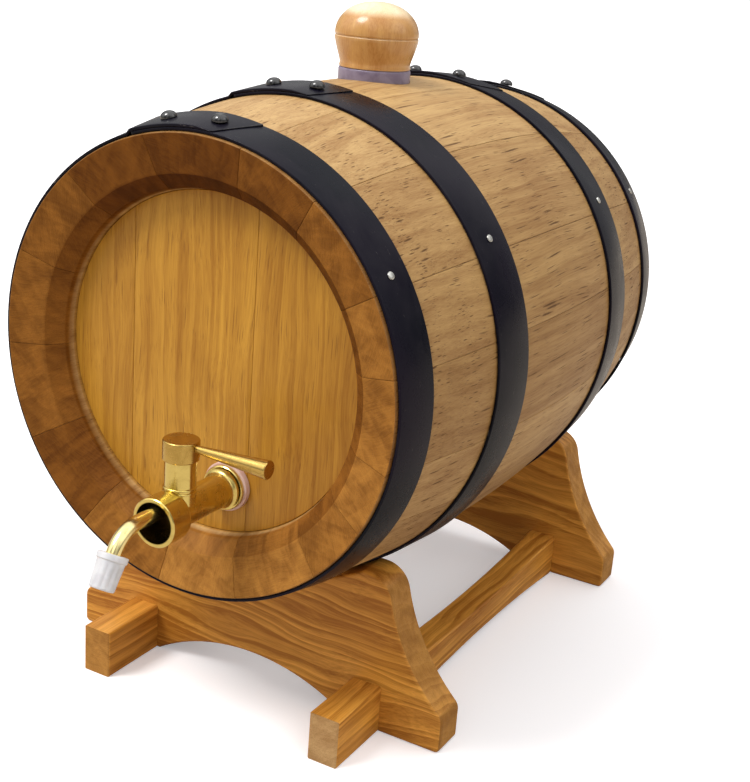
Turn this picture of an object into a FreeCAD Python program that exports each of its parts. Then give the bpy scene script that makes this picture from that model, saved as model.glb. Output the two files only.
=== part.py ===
import FreeCAD, Part
import math
import operator
import os
import Sketcher

from FreeCAD import Placement, Rotation, Vector

# A small oak ageing cask on its cradle, in millimetres.
# +Z is up, -Y is the front with the tap, +X is to the right of someone facing the tap.
# The origin is on the ground, at the centre of the whole assembly's footprint. The middle of
# the cask lies cask_place behind it, because the tap reaches out further than the rails.

DIMENSIONS = (
    # cask
    ("cask_place", 17.1),
    ("axis_height", 154),
    ("bilge_radius", 100),
    ("head_end_radius", 87.5),
    ("half_length", 129),
    ("inner_bilge_radius", 78),
    ("stave_gap", 0.1),
    ("chime_inner_radius", 72.8),
    ("chime_dish", 4),
    ("bevel_radius", 67),
    ("bevel_depth", 9.7),
    ("howel_radius", 66),
    ("head_depth", 14.7),
    ("head_thickness", 10),
    ("croze_depth", 3),
    ("croze_width", 5),
    ("howel_end", 30),
    ("fit", 0.06),
    # hoops
    ("hoop_thickness", 1.2),
    ("hoop_clearance", 0.14),
    ("head_hoop_width", 18.2),
    ("head_hoop_inset", 1.2),
    ("bilge_hoop_width", 22.4),
    ("bilge_hoop_place", 45.2),
    ("rivet_radius", 3.1),
    ("rivet_height", 2.7),
    ("rivet_shank", 1.2),
    ("nail_radius", 1.5),
    ("nail_height", 0.7),
    ("nail_shank", 0.7),
    ("nail_length", 9),
    ("nail_hole_radius", 0.9),
    ("nail_hole_depth", 8.4),
    # bung
    ("bung_hole_radius", 12),
    ("bung_seat_radius", 15.5),
    ("bung_seat_level", 98.6),
    ("bung_offset", -2.8),
    ("stopper_radius", 15.3),
    ("stopper_top", 104.2),
    ("stopper_length", 20),
    ("knob_radius", 17.8),
    ("knob_neck_radius", 14.9),
    ("knob_top", 131.2),
    # tap
    ("tap_offset", 11),
    ("tap_drop", 45.6),
    ("tap_reach", 46),
    ("pipe_radius", 6.5),
    ("bell_radius", 9.3),
    ("bell_bore", 7.8),
    ("bell_length", 10.5),
    ("bell_depth", 8),
    ("flange_radius", 8.8),
    ("washer_radius", 9.7),
    ("washer_thickness", 2.8),
    ("tap_shank_radius", 4.9),
    ("tap_shank_length", 22),
    ("channel_radius", 2.2),
    ("stem_setback", 15),
    ("boss_radius", 5.8),
    ("boss_height", 20),
    ("plug_radius", 3.5),
    ("stem_radius", 2.3),
    ("cap_radius", 6.8),
    ("cap_height", 7.8),
    ("lever_length", 31),
    ("lever_root_radius", 1.35),
    ("lever_end_radius", 3.5),
    ("spout_radius", 2.8),
    ("spout_bore", 2),
    ("spout_seat_depth", 3),
    ("spout_rise", 3.5),
    ("spout_bend_radius", 14),
    ("spout_bend_angle", 60),
    ("spout_run", 20),
    ("spout_tip", 8.5),
    ("tip_cap_radius", 5.6),
    ("tip_cap_end_radius", 4.6),
    ("tip_cap_length", 13),
    # stand
    ("board_thickness", 16.5),
    ("front_board_place", -77),
    ("rear_board_place", 107.7),
    ("foot_half_width", 92.5),
    ("foot_height", 15.5),
    ("horn_half_width", 64),
    ("arch_half_width", 49.5),
    ("arch_height", 14.5),
    ("front_horn_height", 69.5),
    ("front_saddle_radius", 98.9),
    ("rear_horn_height", 74.5),
    ("rear_saddle_radius", 92.6),
    ("stretcher_place", 57.5),
    ("stretcher_width", 13.8),
    ("stretcher_height", 21),
    ("stretcher_overhang", 33),
    ("stretcher_scoop", 4),
    ("lap_height", 9.5),
    ("screw_radius", 1.7),
    ("screw_head_radius", 3.4),
    ("screw_length", 21),
)

# Widths of the staves in degrees, counted anticlockwise as seen from the front.
STAVE_WIDTHS = (19, 25, 22, 28, 26, 27, 26, 26, 26, 27, 24, 26, 18, 17, 23)
FIRST_SEAM = 11
BUNG_STAVE = 4
NAIL_STAVE = 2
NAIL_ANGLE = 33
# Rivet angles on each hoop, front to back, and the angle that each lapped end covers.
RIVET_ANGLES = ((87.5, 101.5), (87.5, 99), (84.5, 97.5), (86.5, 100.5))
LAP_MARGIN = 8
FRONT_HEAD_JOINTS = (-36.5, 19)
REAR_HEAD_JOINTS = (-21, 30)

doc = FreeCAD.newDocument("oak_cask")
sheet = doc.addObject("Spreadsheet::Sheet", "Dims")
for row, (alias, amount) in enumerate(DIMENSIONS, start=1):
    sheet.set(f"A{row}", alias)
    sheet.set(f"B{row}", str(amount))
    sheet.setAlias(f"B{row}", alias)
doc.recompute()

nodes = []


class Size:
    """A length or angle that knows its value and the sheet expression behind it."""

    def __init__(self, value, text):
        self.value = float(value)
        self.text = text

    def __add__(self, other):
        return combine(self, other, "+", operator.add)

    def __radd__(self, other):
        return combine(other, self, "+", operator.add)

    def __sub__(self, other):
        return combine(self, other, "-", operator.sub)

    def __rsub__(self, other):
        return combine(other, self, "-", operator.sub)

    def __mul__(self, other):
        return combine(self, other, "*", operator.mul)

    def __rmul__(self, other):
        return combine(other, self, "*", operator.mul)

    def __truediv__(self, other):
        return combine(self, other, "/", operator.truediv)

    def __neg__(self):
        return combine(-1, self, "*", operator.mul)


def as_size(number):
    return number if isinstance(number, Size) else Size(number, f"({float(number)})")


def combine(left, right, sign, action):
    left, right = as_size(left), as_size(right)
    return Size(action(left.value, right.value), f"({left.text} {sign} {right.text})")


def root(size):
    return Size(math.sqrt(size.value), f"sqrt({size.text})")


def sine(angle):
    return Size(math.sin(math.radians(angle.value)), f"sin({angle.text} * 1 deg)")


def cosine(angle):
    return Size(math.cos(math.radians(angle.value)), f"cos({angle.text} * 1 deg)")


class Through:
    """A point that an arc passes between two corners of an outline."""

    def __init__(self, across, up):
        self.across = as_size(across)
        self.up = as_size(up)


dim = {alias: Size(amount, f"Dims.{alias}") for alias, amount in DIMENSIONS}
fit = dim["fit"]


# ---------------------------------------------------------------- helpers

def bind(item, name, size):
    item.setExpression(name, as_size(size).text)


def place(body, x=0, y=0, z=0):
    """Put a piece at a point given from the spot on the ground below the middle of the cask."""
    for axis, size in (("x", x), ("y", y + dim["cask_place"]), ("z", z)):
        bind(body, f"Placement.Base.{axis}", size)


def new_body(label, x=0, y=0, z=0):
    body = doc.addObject("PartDesign::Body", label)
    body.Label = label
    place(body, x, y, z)
    nodes.append(body)
    return body


def new_sketch(body, role, name, offset=None):
    sketch = body.newObject("Sketcher::SketchObject", name)
    plane = next(item for item in body.Origin.OriginFeatures if item.Role == role)
    sketch.AttachmentSupport = [(plane, "")]
    sketch.MapMode = "FlatFace"
    if offset is not None:
        sketch.AttachmentOffset = offset
    return sketch


def pin_point(sketch, geo, end, across, up):
    """Fix one point of the sketch at its place, bound to the sheet."""
    for kind, axis, size in (("DistanceX", -2, across), ("DistanceY", -1, up)):
        if abs(size.value) < 1e-9:
            sketch.addConstraint(Sketcher.Constraint("PointOnObject", geo, end, axis))
            continue
        index = sketch.addConstraint(Sketcher.Constraint(kind, -1, 1, geo, end, size.value))
        bind(sketch, f"Constraints[{index}]", size)


def end_near(sketch, geo, point):
    return 1 if sketch.getPoint(geo, 1).distanceToPoint(point) < 1e-6 else 2


def draw_path(sketch, steps, closed):
    """Draw corners joined by lines, or by an arc where a Through stands between them."""
    corners = [(as_size(step[0]), as_size(step[1])) for step in steps if not isinstance(step, Through)]
    spots = [Vector(across.value, up.value, 0) for across, up in corners]
    bends = {}
    count = 0
    for step in steps:
        if isinstance(step, Through):
            bends[count - 1] = step
        else:
            count += 1
    edges = []
    for i in range(count if closed else count - 1):
        start, finish = spots[i], spots[(i + 1) % count]
        if i in bends:
            middle = Vector(bends[i].across.value, bends[i].up.value, 0)
            edges.append(sketch.addGeometry(Part.Arc(start, middle, finish), False))
        else:
            edges.append(sketch.addGeometry(Part.LineSegment(start, finish), False))
    for i, geo in enumerate(edges):
        pin_point(sketch, geo, end_near(sketch, geo, spots[i]), *corners[i])
        after = edges[(i + 1) % len(edges)]
        meeting = spots[(i + 1) % count]
        if closed or i + 1 < len(edges):
            ends = (geo, end_near(sketch, geo, meeting), after, end_near(sketch, after, meeting))
            sketch.addConstraint(Sketcher.Constraint("Coincident", *ends))
        else:
            pin_point(sketch, geo, end_near(sketch, geo, meeting), *corners[i + 1])
    for i, bend in bends.items():
        point = sketch.addGeometry(Part.Point(Vector(bend.across.value, bend.up.value, 0)), True)
        pin_point(sketch, point, 1, bend.across, bend.up)
        sketch.addConstraint(Sketcher.Constraint("PointOnObject", point, 1, edges[i]))


def draw_circle(sketch, across, up, radius):
    across, up, radius = as_size(across), as_size(up), as_size(radius)
    centre = Vector(across.value, up.value, 0)
    geo = sketch.addGeometry(Part.Circle(centre, Vector(0, 0, 1), radius.value), False)
    pin_point(sketch, geo, 3, across, up)
    index = sketch.addConstraint(Sketcher.Constraint("Radius", geo, radius.value))
    bind(sketch, f"Constraints[{index}]", radius)


def revolve(body, role, name, steps, axis="V_Axis", angle=360, offset=None):
    sketch = new_sketch(body, role, f"{name}_outline", offset)
    draw_path(sketch, steps, closed=True)
    turned = body.newObject("PartDesign::Revolution", name)
    turned.Profile = sketch
    turned.ReferenceAxis = (sketch, [axis])
    if angle != 360:
        turned.Midplane = True
    turned.Angle = as_size(angle).value
    if isinstance(angle, Size):
        bind(turned, "Angle", angle)
    return turned


def tool_cylinder(body, kind, name, radius, length, middle, direction):
    """Add or cut a cylinder that starts at a point and runs along a direction."""
    tool = body.newObject(f"PartDesign::{kind}Cylinder", name)
    bind(tool, "Radius", radius)
    bind(tool, "Height", length)
    tool.Placement = Placement(Vector(*middle), Rotation(Vector(0, 0, 1), Vector(*direction)))
    return tool


def radial(angle):
    return math.cos(math.radians(angle)), math.sin(math.radians(angle))


def square_on(angle, along):
    """Place on the outside of the cask, and the direction square to the surface there."""
    x, z = radial(angle)
    lean = math.asin(along / bilge_arc().value)
    radius = bilge_curve(along).value
    direction = Vector(x * math.cos(lean), math.sin(lean), z * math.cos(lean))
    return Vector(x * radius, along, z * radius), direction


def cut_square_on(body, name, radius, depth, angle, along):
    """Cut a hole square to the outside of the cask, from a depth under it outwards."""
    spot, direction = square_on(angle, along)
    bottom = spot - direction * depth
    return tool_cylinder(body, "Subtractive", name, radius, depth + 8, tuple(bottom), tuple(direction))


def edges_between(shape, spots, tolerance=0.01):
    """Names of the straight edges along Y that pass the given (x, z) places."""
    names = []
    for i, edge in enumerate(shape.Edges, start=1):
        ends = [vertex.Point for vertex in edge.Vertexes]
        if len(ends) != 2 or abs(ends[0].y - ends[1].y) < 1:
            continue
        for x, z in spots:
            if all(math.hypot(end.x - x, end.z - z) < tolerance for end in ends):
                names.append(f"Edge{i}")
    return names


def face_rim(shape, level, axis="y"):
    """Names of the edges that lie wholly in one plane across the given axis."""
    names = []
    for i, edge in enumerate(shape.Edges, start=1):
        box = edge.BoundBox
        low, high = getattr(box, f"{axis.upper()}Min"), getattr(box, f"{axis.upper()}Max")
        if abs(low - level) < 1e-4 and abs(high - level) < 1e-4:
            names.append(f"Edge{i}")
    return names


def round_edges(body, name, names, radius):
    base = body.Tip
    rounded = body.newObject("PartDesign::Fillet", name)
    rounded.Base = (base, names)
    rounded.Radius = radius
    doc.recompute()
    return rounded


def bilge_arc():
    """Radius of the long arc that the outside of the cask follows from end to end."""
    sag = dim["bilge_radius"] - dim["head_end_radius"]
    return (dim["half_length"] * dim["half_length"] + sag * sag) / (2 * sag)


def bilge_curve(along):
    """Outside radius of the cask at a distance along its axis."""
    arc = bilge_arc()
    return root(arc * arc - as_size(along) * as_size(along)) - arc + dim["bilge_radius"]


# ---------------------------------------------------------------- staves

def stave_outline():
    """Lengthwise section of a stave: bulged outside, dished chime, bevel, howel and croze."""
    length = dim["half_length"]
    head = length - dim["head_depth"]
    tongue_out = head - (dim["head_thickness"] - dim["croze_width"]) / 2 + fit
    tongue_in = tongue_out - dim["croze_width"] - 2 * fit
    croze = dim["howel_radius"] + dim["croze_depth"] + fit
    front = [
        (dim["chime_inner_radius"], dim["chime_dish"] - length),
        (dim["bevel_radius"], dim["bevel_depth"] - length),
        (dim["howel_radius"], -head),
        (dim["howel_radius"], -tongue_out),
        (croze, -tongue_out),
        (croze, -tongue_in),
        (dim["howel_radius"], -tongue_in),
        (dim["howel_radius"], dim["howel_end"] - length),
    ]
    back = [(radius, -along) for radius, along in reversed(front)]
    inside = [Through(dim["inner_bilge_radius"], 0)]
    outside = [(dim["head_end_radius"], length), Through(dim["bilge_radius"], 0)]
    return [(dim["head_end_radius"], -length)] + front + inside + back + outside


def make_staves():
    seam = FIRST_SEAM
    gap = dim["stave_gap"] / dim["bilge_radius"] * (180 / math.pi)
    for number, width in enumerate(STAVE_WIDTHS, start=1):
        label = "stave_bung" if number == BUNG_STAVE else f"stave_{number:02d}"
        body = new_body(label, z=dim["axis_height"])
        turn = Placement(Vector(), Rotation(Vector(0, 1, 0), -(seam + width / 2)))
        revolve(body, "XY_Plane", f"{label}_wood", stave_outline(), angle=width - gap, offset=turn)
        if number == BUNG_STAVE:
            bore_bung_hole(body)
        if number == NAIL_STAVE:
            bore_nail_holes(body)
        seam += width


def bore_bung_hole(body):
    seat = dim["bung_seat_level"]
    up = (0, 0, 1)
    across = dim["bung_offset"].value
    bottom = dim["inner_bilge_radius"].value - 5
    tool_cylinder(body, "Subtractive", "bung_hole", dim["bung_hole_radius"], 40, (across, 0, bottom), up)
    tool_cylinder(body, "Subtractive", "bung_seat", dim["bung_seat_radius"], 10, (across, 0, seat.value), up)


def bore_nail_holes(body):
    depth = dim["nail_hole_depth"].value
    for number, along in enumerate(hoop_middles(), start=1):
        name = f"nail_hole_{number}"
        cut_square_on(body, name, dim["nail_hole_radius"], depth, NAIL_ANGLE, along.value)


# ---------------------------------------------------------------- heads

def make_head(side, sign, joints):
    """Flat head of edge-jointed boards with a tongue all round that sits in the croze."""
    outer = dim["half_length"] - dim["head_depth"]
    step = (dim["head_thickness"] - dim["croze_width"]) / 2
    disc = dim["howel_radius"] - 0.15
    tongue = disc + dim["croze_depth"]
    section = (
        (0, sign * outer),
        (disc, sign * outer),
        (disc, sign * (outer - step)),
        (tongue, sign * (outer - step)),
        (tongue, sign * (outer - step - dim["croze_width"])),
        (disc, sign * (outer - step - dim["croze_width"])),
        (disc, sign * (outer - dim["head_thickness"])),
        (0, sign * (outer - dim["head_thickness"])),
    )
    reach = 80
    edges = (-reach,) + joints + (reach,)
    half_gap = fit.value / 2
    for number, (left, right) in enumerate(zip(edges, edges[1:]), start=1):
        label = f"{side}_head_board_{number}"
        body = new_body(label, z=dim["axis_height"])
        revolve(body, "XY_Plane", f"{label}_wood", section)
        sketch = new_sketch(body, "XZ_Plane", f"{label}_trim_outline")
        if left > -reach:
            draw_block(sketch, -reach, left + half_gap, reach)
        if right < reach:
            draw_block(sketch, right - half_gap, reach, reach)
        trim = body.newObject("PartDesign::Pocket", f"{label}_trim")
        trim.Profile = sketch
        trim.Type = "ThroughAll"
        trim.Midplane = True
        if sign < 0 and left < dim["tap_offset"].value < right:
            start = (dim["tap_offset"].value, -outer.value - 5, -dim["tap_drop"].value)
            bore = dim["tap_shank_radius"] + 0.1
            tool_cylinder(body, "Subtractive", "tap_hole", bore, 30, start, (0, 1, 0))


def draw_block(sketch, left, right, reach):
    draw_path(sketch, [(left, -reach), (right, -reach), (right, reach), (left, reach)], closed=True)


# ---------------------------------------------------------------- hoops

def hoop_spans():
    """Front and back edge of each hoop along the cask, front to back."""
    far = dim["half_length"] - dim["head_hoop_inset"]
    head = (far - dim["head_hoop_width"], far)
    bilge = (dim["bilge_hoop_place"], dim["bilge_hoop_place"] + dim["bilge_hoop_width"])
    ahead = [(-head[1], -head[0]), (-bilge[1], -bilge[0])]
    return ahead + [bilge, head]


def hoop_middles():
    return [(near + far) / 2 for near, far in hoop_spans()]


def band_section(near, far, inside, thickness):
    near_radius = bilge_curve(near) + inside
    far_radius = bilge_curve(far) + inside
    return [
        (near_radius, near),
        (near_radius + thickness, near),
        (far_radius + thickness, far),
        (far_radius, far),
    ]


def make_hoops():
    thickness = dim["hoop_thickness"]
    for number, (near, far) in enumerate(hoop_spans(), start=1):
        label = f"hoop_{number}"
        body = new_body(label, z=dim["axis_height"])
        inside = dim["hoop_clearance"]
        revolve(body, "XY_Plane", f"{label}_band", band_section(near, far, inside, thickness))
        rivets = RIVET_ANGLES[number - 1]
        middle = sum(rivets) / 2
        spread = rivets[1] - rivets[0] + 2 * LAP_MARGIN
        turn = Placement(Vector(), Rotation(Vector(0, 1, 0), -middle))
        lap = band_section(near, far, inside + thickness * 0.9, thickness * 1.1)
        revolve(body, "XY_Plane", f"{label}_lap", lap, angle=spread, offset=turn)
        along = (near + far) / 2
        for side, angle in enumerate(rivets, start=1):
            hole = dim["rivet_shank"] + fit
            cut_square_on(body, f"{label}_rivet_hole_{side}", hole, 3, angle, along.value)
        hole = dim["nail_shank"] + fit
        cut_square_on(body, f"{label}_nail_hole", hole, 3, NAIL_ANGLE, along.value)


def dome(base, radius, height, shank, depth):
    """Round-headed fastener along Z, with a small flat on its crown."""
    top = Vector(0, 0, base + height)
    crown = Vector(radius * 0.2, 0, base + height)
    rim = Vector(radius, 0, base)
    shoulder = Vector(radius * 0.78, 0, base + height * 0.66)
    foot = Vector(shank, 0, base - depth)
    edges = [
        Part.Arc(rim, shoulder, crown).toShape(),
        Part.makeLine(crown, top),
        Part.makeLine(top, Vector(0, 0, base - depth)),
        Part.makeLine(Vector(0, 0, base - depth), foot),
        Part.makeLine(foot, Vector(shank, 0, base)),
        Part.makeLine(Vector(shank, 0, base), rim),
    ]
    face = Part.Face(Part.Wire(Part.__sortEdges__(edges)))
    return face.revolve(Vector(), Vector(0, 0, 1), 360)


def make_fasteners():
    """All rivets as one node and all nails as one node, standing on the hoops."""
    skin = (dim["hoop_thickness"] + dim["hoop_clearance"]).value
    rivets, nails = [], []
    for pair, along in zip(RIVET_ANGLES, hoop_middles()):
        for angle in pair:
            base = skin + dim["hoop_thickness"].value + 0.05
            depth = 2 * dim["hoop_thickness"].value
            shape = dome(base, dim["rivet_radius"].value, dim["rivet_height"].value,
                         dim["rivet_shank"].value, depth)
            rivets.append(stand_out(shape, angle, along.value))
        base = skin + 0.05
        shape = dome(base, dim["nail_radius"].value, dim["nail_height"].value,
                     dim["nail_shank"].value, dim["nail_length"].value)
        nails.append(stand_out(shape, NAIL_ANGLE, along.value))
    for label, shapes in (("hoop_rivets", rivets), ("hoop_nails", nails)):
        item = doc.addObject("Part::Feature", label)
        item.Label = label
        item.Shape = Part.makeCompound(shapes)
        place(item, z=dim["axis_height"])
        nodes.append(item)


def stand_out(shape, angle, along):
    """Copy of a fastener that was made along Z, set square to the outside of the cask."""
    spot, direction = square_on(angle, along)
    turned = shape.copy()
    turned.Placement = Placement(spot, Rotation(Vector(0, 0, 1), direction))
    return turned


# ---------------------------------------------------------------- bung

def make_bung():
    place_x = dim["bung_offset"]
    axis = dim["axis_height"]
    seat = dim["bung_seat_level"] + fit
    top = dim["stopper_top"]
    plug = dim["bung_hole_radius"] - 0.08
    stopper = new_body("bung_stopper", x=place_x, z=axis)
    revolve(stopper, "XZ_Plane", "stopper_turned", [
        (0, seat - dim["stopper_length"]),
        (plug - 1.4, seat - dim["stopper_length"]),
        (plug - 0.6, seat - dim["stopper_length"] + 1.2),
        (plug, seat),
        (dim["stopper_radius"], seat),
        (dim["stopper_radius"], top - 0.6),
        (dim["stopper_radius"] - 0.6, top),
        (4 + fit, top),
        (4 + fit, top - 12),
        (0, top - 12),
    ])
    knob_base = top + fit
    neck = dim["knob_neck_radius"]
    wide = dim["knob_radius"]
    crown = dim["knob_top"]
    knob = new_body("bung_knob", x=place_x, z=axis)
    revolve(knob, "XZ_Plane", "knob_turned", [
        (0, knob_base - 11),
        (4, knob_base - 11),
        (4, knob_base),
        (neck + 0.3, knob_base),
        (neck, knob_base + 1.6),
        Through(wide - 0.75, knob_base + 7.4),
        (wide, knob_base + 12.6),
        (wide - 0.5, knob_base + 13),
        (wide - 0.1, knob_base + 13.4),
        Through(wide - 2.4, crown - 6.4),
        (wide - 8.2, crown - 1.9),
        Through(wide - 13, crown - 0.5),
        (1.5, crown),
        (0, crown),
    ])


# ---------------------------------------------------------------- tap

# Places along the cask, from its middle, that the tap is built from.
head_face = dim["head_depth"] - dim["half_length"]
tap_seat = head_face - dim["washer_thickness"] - 2 * fit
mouth = head_face - dim["tap_reach"]
bell_floor = mouth + dim["bell_depth"]
stem = mouth + dim["stem_setback"]


def tap_body_at(label, along=0, rise=0):
    """New body whose origin is on the tap's axis, at a place along it and a rise above it."""
    return new_body(label, dim["tap_offset"], along, dim["axis_height"] - dim["tap_drop"] + rise)


def make_tap_body():
    shank_end = head_face + dim["tap_shank_length"]
    body = tap_body_at("tap_body")
    revolve(body, "XY_Plane", "tap_turned", [
        (dim["bell_bore"], mouth),
        (dim["bell_radius"] - 0.3, mouth),
        (dim["bell_radius"], mouth + 0.3),
        (dim["bell_radius"], mouth + dim["bell_length"] - 1.2),
        Through(dim["bell_radius"] - 0.7, mouth + dim["bell_length"] + 0.2),
        (dim["pipe_radius"], mouth + dim["bell_length"] + 1),
        (dim["pipe_radius"], tap_seat - 5),
        Through(dim["pipe_radius"] + 0.45, tap_seat - 3.9),
        (dim["pipe_radius"] + 1.5, tap_seat - 3.2),
        (dim["pipe_radius"] + 1.5, tap_seat - 2.2),
        (dim["pipe_radius"] + 0.5, tap_seat - 2.2),
        (dim["pipe_radius"] + 0.5, tap_seat - 1.6),
        (dim["flange_radius"] - 0.3, tap_seat - 1.6),
        (dim["flange_radius"], tap_seat - 1.3),
        (dim["flange_radius"], tap_seat),
        (dim["tap_shank_radius"], tap_seat),
        (dim["tap_shank_radius"], shank_end),
        (dim["channel_radius"] + 0.6, shank_end),
        (dim["channel_radius"] + 0.6, stem + 8),
        (dim["channel_radius"], stem + 7),
        (dim["channel_radius"], bell_floor + 2.4),
        (0, bell_floor + 2.4),
        (0, bell_floor),
        (dim["bell_bore"], bell_floor),
    ])
    up = (0, 0, 1)
    boss_top = dim["boss_height"].value
    bore = dim["plug_radius"] + fit
    tool_cylinder(body, "Additive", "boss", dim["boss_radius"], dim["boss_height"] - 3,
                  (0, stem.value, 3), up)
    tool_cylinder(body, "Subtractive", "plug_bore", bore, 40, (0, stem.value, -5), up)
    tool_cylinder(body, "Subtractive", "gland_seat", 4.6, 10, (0, stem.value, boss_top - 4), up)
    tool_cylinder(body, "Subtractive", "spout_seat", dim["spout_radius"] + fit, dim["spout_seat_depth"] + 6,
                  (0, (bell_floor - 6).value, dim["spout_rise"].value), (0, 1, 0))
    # Two small beads round the foot of the boss.
    for number, level in enumerate((8.2, 9.7), start=1):
        ring = body.newObject("PartDesign::AdditiveTorus", f"boss_bead_{number}")
        bind(ring, "Radius1", dim["boss_radius"])
        ring.Radius2 = 0.45
        ring.Placement = Placement(Vector(0, stem.value, level), Rotation())


def make_tap_valve():
    """Plug, seal, gland, cap and lever: the pieces round the upright stem."""
    top = dim["boss_height"]
    shoulder = top - 5.6
    plug = tap_body_at("tap_plug", stem)
    revolve(plug, "XZ_Plane", "plug_turned", [
        (0, -4.9),
        (dim["plug_radius"] - 0.3, -4.9),
        (dim["plug_radius"], -4.6),
        (dim["plug_radius"], shoulder),
        (dim["stem_radius"], shoulder),
        (dim["stem_radius"], top + 5),
        (0, top + 5),
    ])
    # The port lies along X while the lever points along +X, so the tap is shut.
    tool_cylinder(plug, "Subtractive", "plug_port", dim["channel_radius"], 20, (-10, 0, 0), (1, 0, 0))

    seal = doc.addObject("Part::Torus", "tap_seal")
    seal.Label = "tap_seal"
    bind(seal, "Radius1", dim["stem_radius"] + 0.6)
    seal.Radius2 = 0.5
    place(seal, dim["tap_offset"], stem, dim["axis_height"] - dim["tap_drop"] + shoulder + 0.6)
    nodes.append(seal)

    gland = tap_body_at("tap_gland", stem)
    inner = dim["stem_radius"] + fit
    revolve(gland, "XZ_Plane", "gland_turned", [
        (inner, top - 3.95),
        (4.55, top - 3.95),
        (4.55, top - 0.05),
        (inner, top - 0.05),
    ])

    cap = tap_body_at("tap_cap", stem)
    low = top + 0.1
    high = low + dim["cap_height"]
    width = dim["cap_radius"]
    revolve(cap, "XZ_Plane", "cap_turned", [
        (inner, low),
        (width - 0.4, low),
        (width, low + 0.4),
        (width, high - 0.7),
        Through(width - 0.2, high - 0.2),
        (width - 0.7, high),
        (0, high),
        (0, low + 5.2),
        (inner, low + 5.2),
    ])
    lever_level = high - 2.3
    tang = dim["lever_root_radius"] - 0.15
    tool_cylinder(cap, "Subtractive", "lever_socket", tang + fit, 12,
                  ((width - 3).value, 0, lever_level.value), (1, 0, 0))

    lever = tap_body_at("tap_lever", stem, lever_level)
    start = width + 0.02
    finish = width + dim["lever_length"]
    revolve(lever, "XZ_Plane", "lever_turned", [
        (width - 2.9, 0),
        (finish, 0),
        (finish, dim["lever_end_radius"] - 0.3),
        (finish - 0.3, dim["lever_end_radius"]),
        (start + 1.2, dim["lever_root_radius"] + 0.1),
        (start, dim["lever_root_radius"]),
        (start, tang),
        (width - 2.9, tang),
    ], axis="H_Axis")


def make_tap_mounting():
    """Washer in front of the head, gasket and nut behind it."""
    inner = dim["tap_shank_radius"] + fit
    back = head_face + dim["head_thickness"] + fit
    for label, near, far, outer in (
        ("tap_washer", tap_seat + fit, head_face - fit, dim["washer_radius"]),
        ("tap_gasket", back, back + 1.6, dim["washer_radius"] - 0.5),
    ):
        ring = tap_body_at(label)
        revolve(ring, "XY_Plane", f"{label}_ring", [
            (inner, near),
            (outer - 0.3, near),
            (outer, near + 0.3),
            (outer, far - 0.3),
            (outer - 0.3, far),
            (inner, far),
        ])
    nut = tap_body_at("tap_nut", back + 1.6 + fit)
    sketch = new_sketch(nut, "XZ_Plane", "nut_outline")
    corner = Size(9.4, "(9.4)")
    turns = [Size(60 * i, f"({60 * i})") for i in range(6)]
    draw_path(sketch, [(corner * cosine(turn), corner * sine(turn)) for turn in turns], closed=True)
    draw_circle(sketch, 0, 0, inner)
    pad = nut.newObject("PartDesign::Pad", "nut_pad")
    pad.Profile = sketch
    pad.Length = 5
    pad.Reversed = True


def make_spout():
    """Bent tube from the floor of the bell, and the soft cap on its tip."""
    start = bell_floor + dim["spout_seat_depth"] - fit
    bend_start = start - dim["spout_run"]
    angle = dim["spout_bend_angle"]
    bend = dim["spout_bend_radius"]
    half = angle / 2
    bend_end = (bend_start - bend * sine(angle), -bend * (1 - cosine(angle)))
    bend_mid = (bend_start - bend * sine(half), -bend * (1 - cosine(half)))
    tip = (bend_end[0] - dim["spout_tip"] * cosine(angle), bend_end[1] - dim["spout_tip"] * sine(angle))
    base = dim["axis_height"] - dim["tap_drop"] + dim["spout_rise"]
    spout = new_body("tap_spout", x=dim["tap_offset"], z=base)
    path = new_sketch(spout, "YZ_Plane", "spout_path")
    draw_path(path, [(start, 0), (bend_start, 0), Through(*bend_mid), bend_end, tip], closed=False)
    ring = new_sketch(spout, "XZ_Plane", "spout_ring", Placement(Vector(0, 0, -start.value), Rotation()))
    bind(ring, "AttachmentOffset.Base.z", -start)
    draw_circle(ring, 0, 0, dim["spout_radius"])
    draw_circle(ring, 0, 0, dim["spout_bore"])
    doc.recompute()
    tube = spout.newObject("PartDesign::AdditivePipe", "spout_tube")
    tube.Profile = ring
    tube.Spine = (path, ["Edge1", "Edge2", "Edge3"])

    cap = new_body("spout_cap", dim["tap_offset"], bend_end[0], base + bend_end[1])
    cap.Placement.Rotation = Rotation(Vector(1, 0, 0), angle.value - 90)
    length = dim["tip_cap_length"]
    wide, narrow = dim["tip_cap_radius"], dim["tip_cap_end_radius"]
    bore = dim["spout_radius"] + fit
    revolve(cap, "XZ_Plane", "cap_moulded", [
        (bore, -0.4),
        (wide - 0.4, -0.4),
        (wide, -0.8),
        (wide, -2.4),
        (wide - 0.35, -2.8),
        (narrow, 0.4 - length),
        (narrow - 0.4, -length),
        (0, -length),
        (0, -dim["spout_tip"] - 0.6),
        (bore, -dim["spout_tip"] - 0.6),
    ])


# ---------------------------------------------------------------- stand

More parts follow.
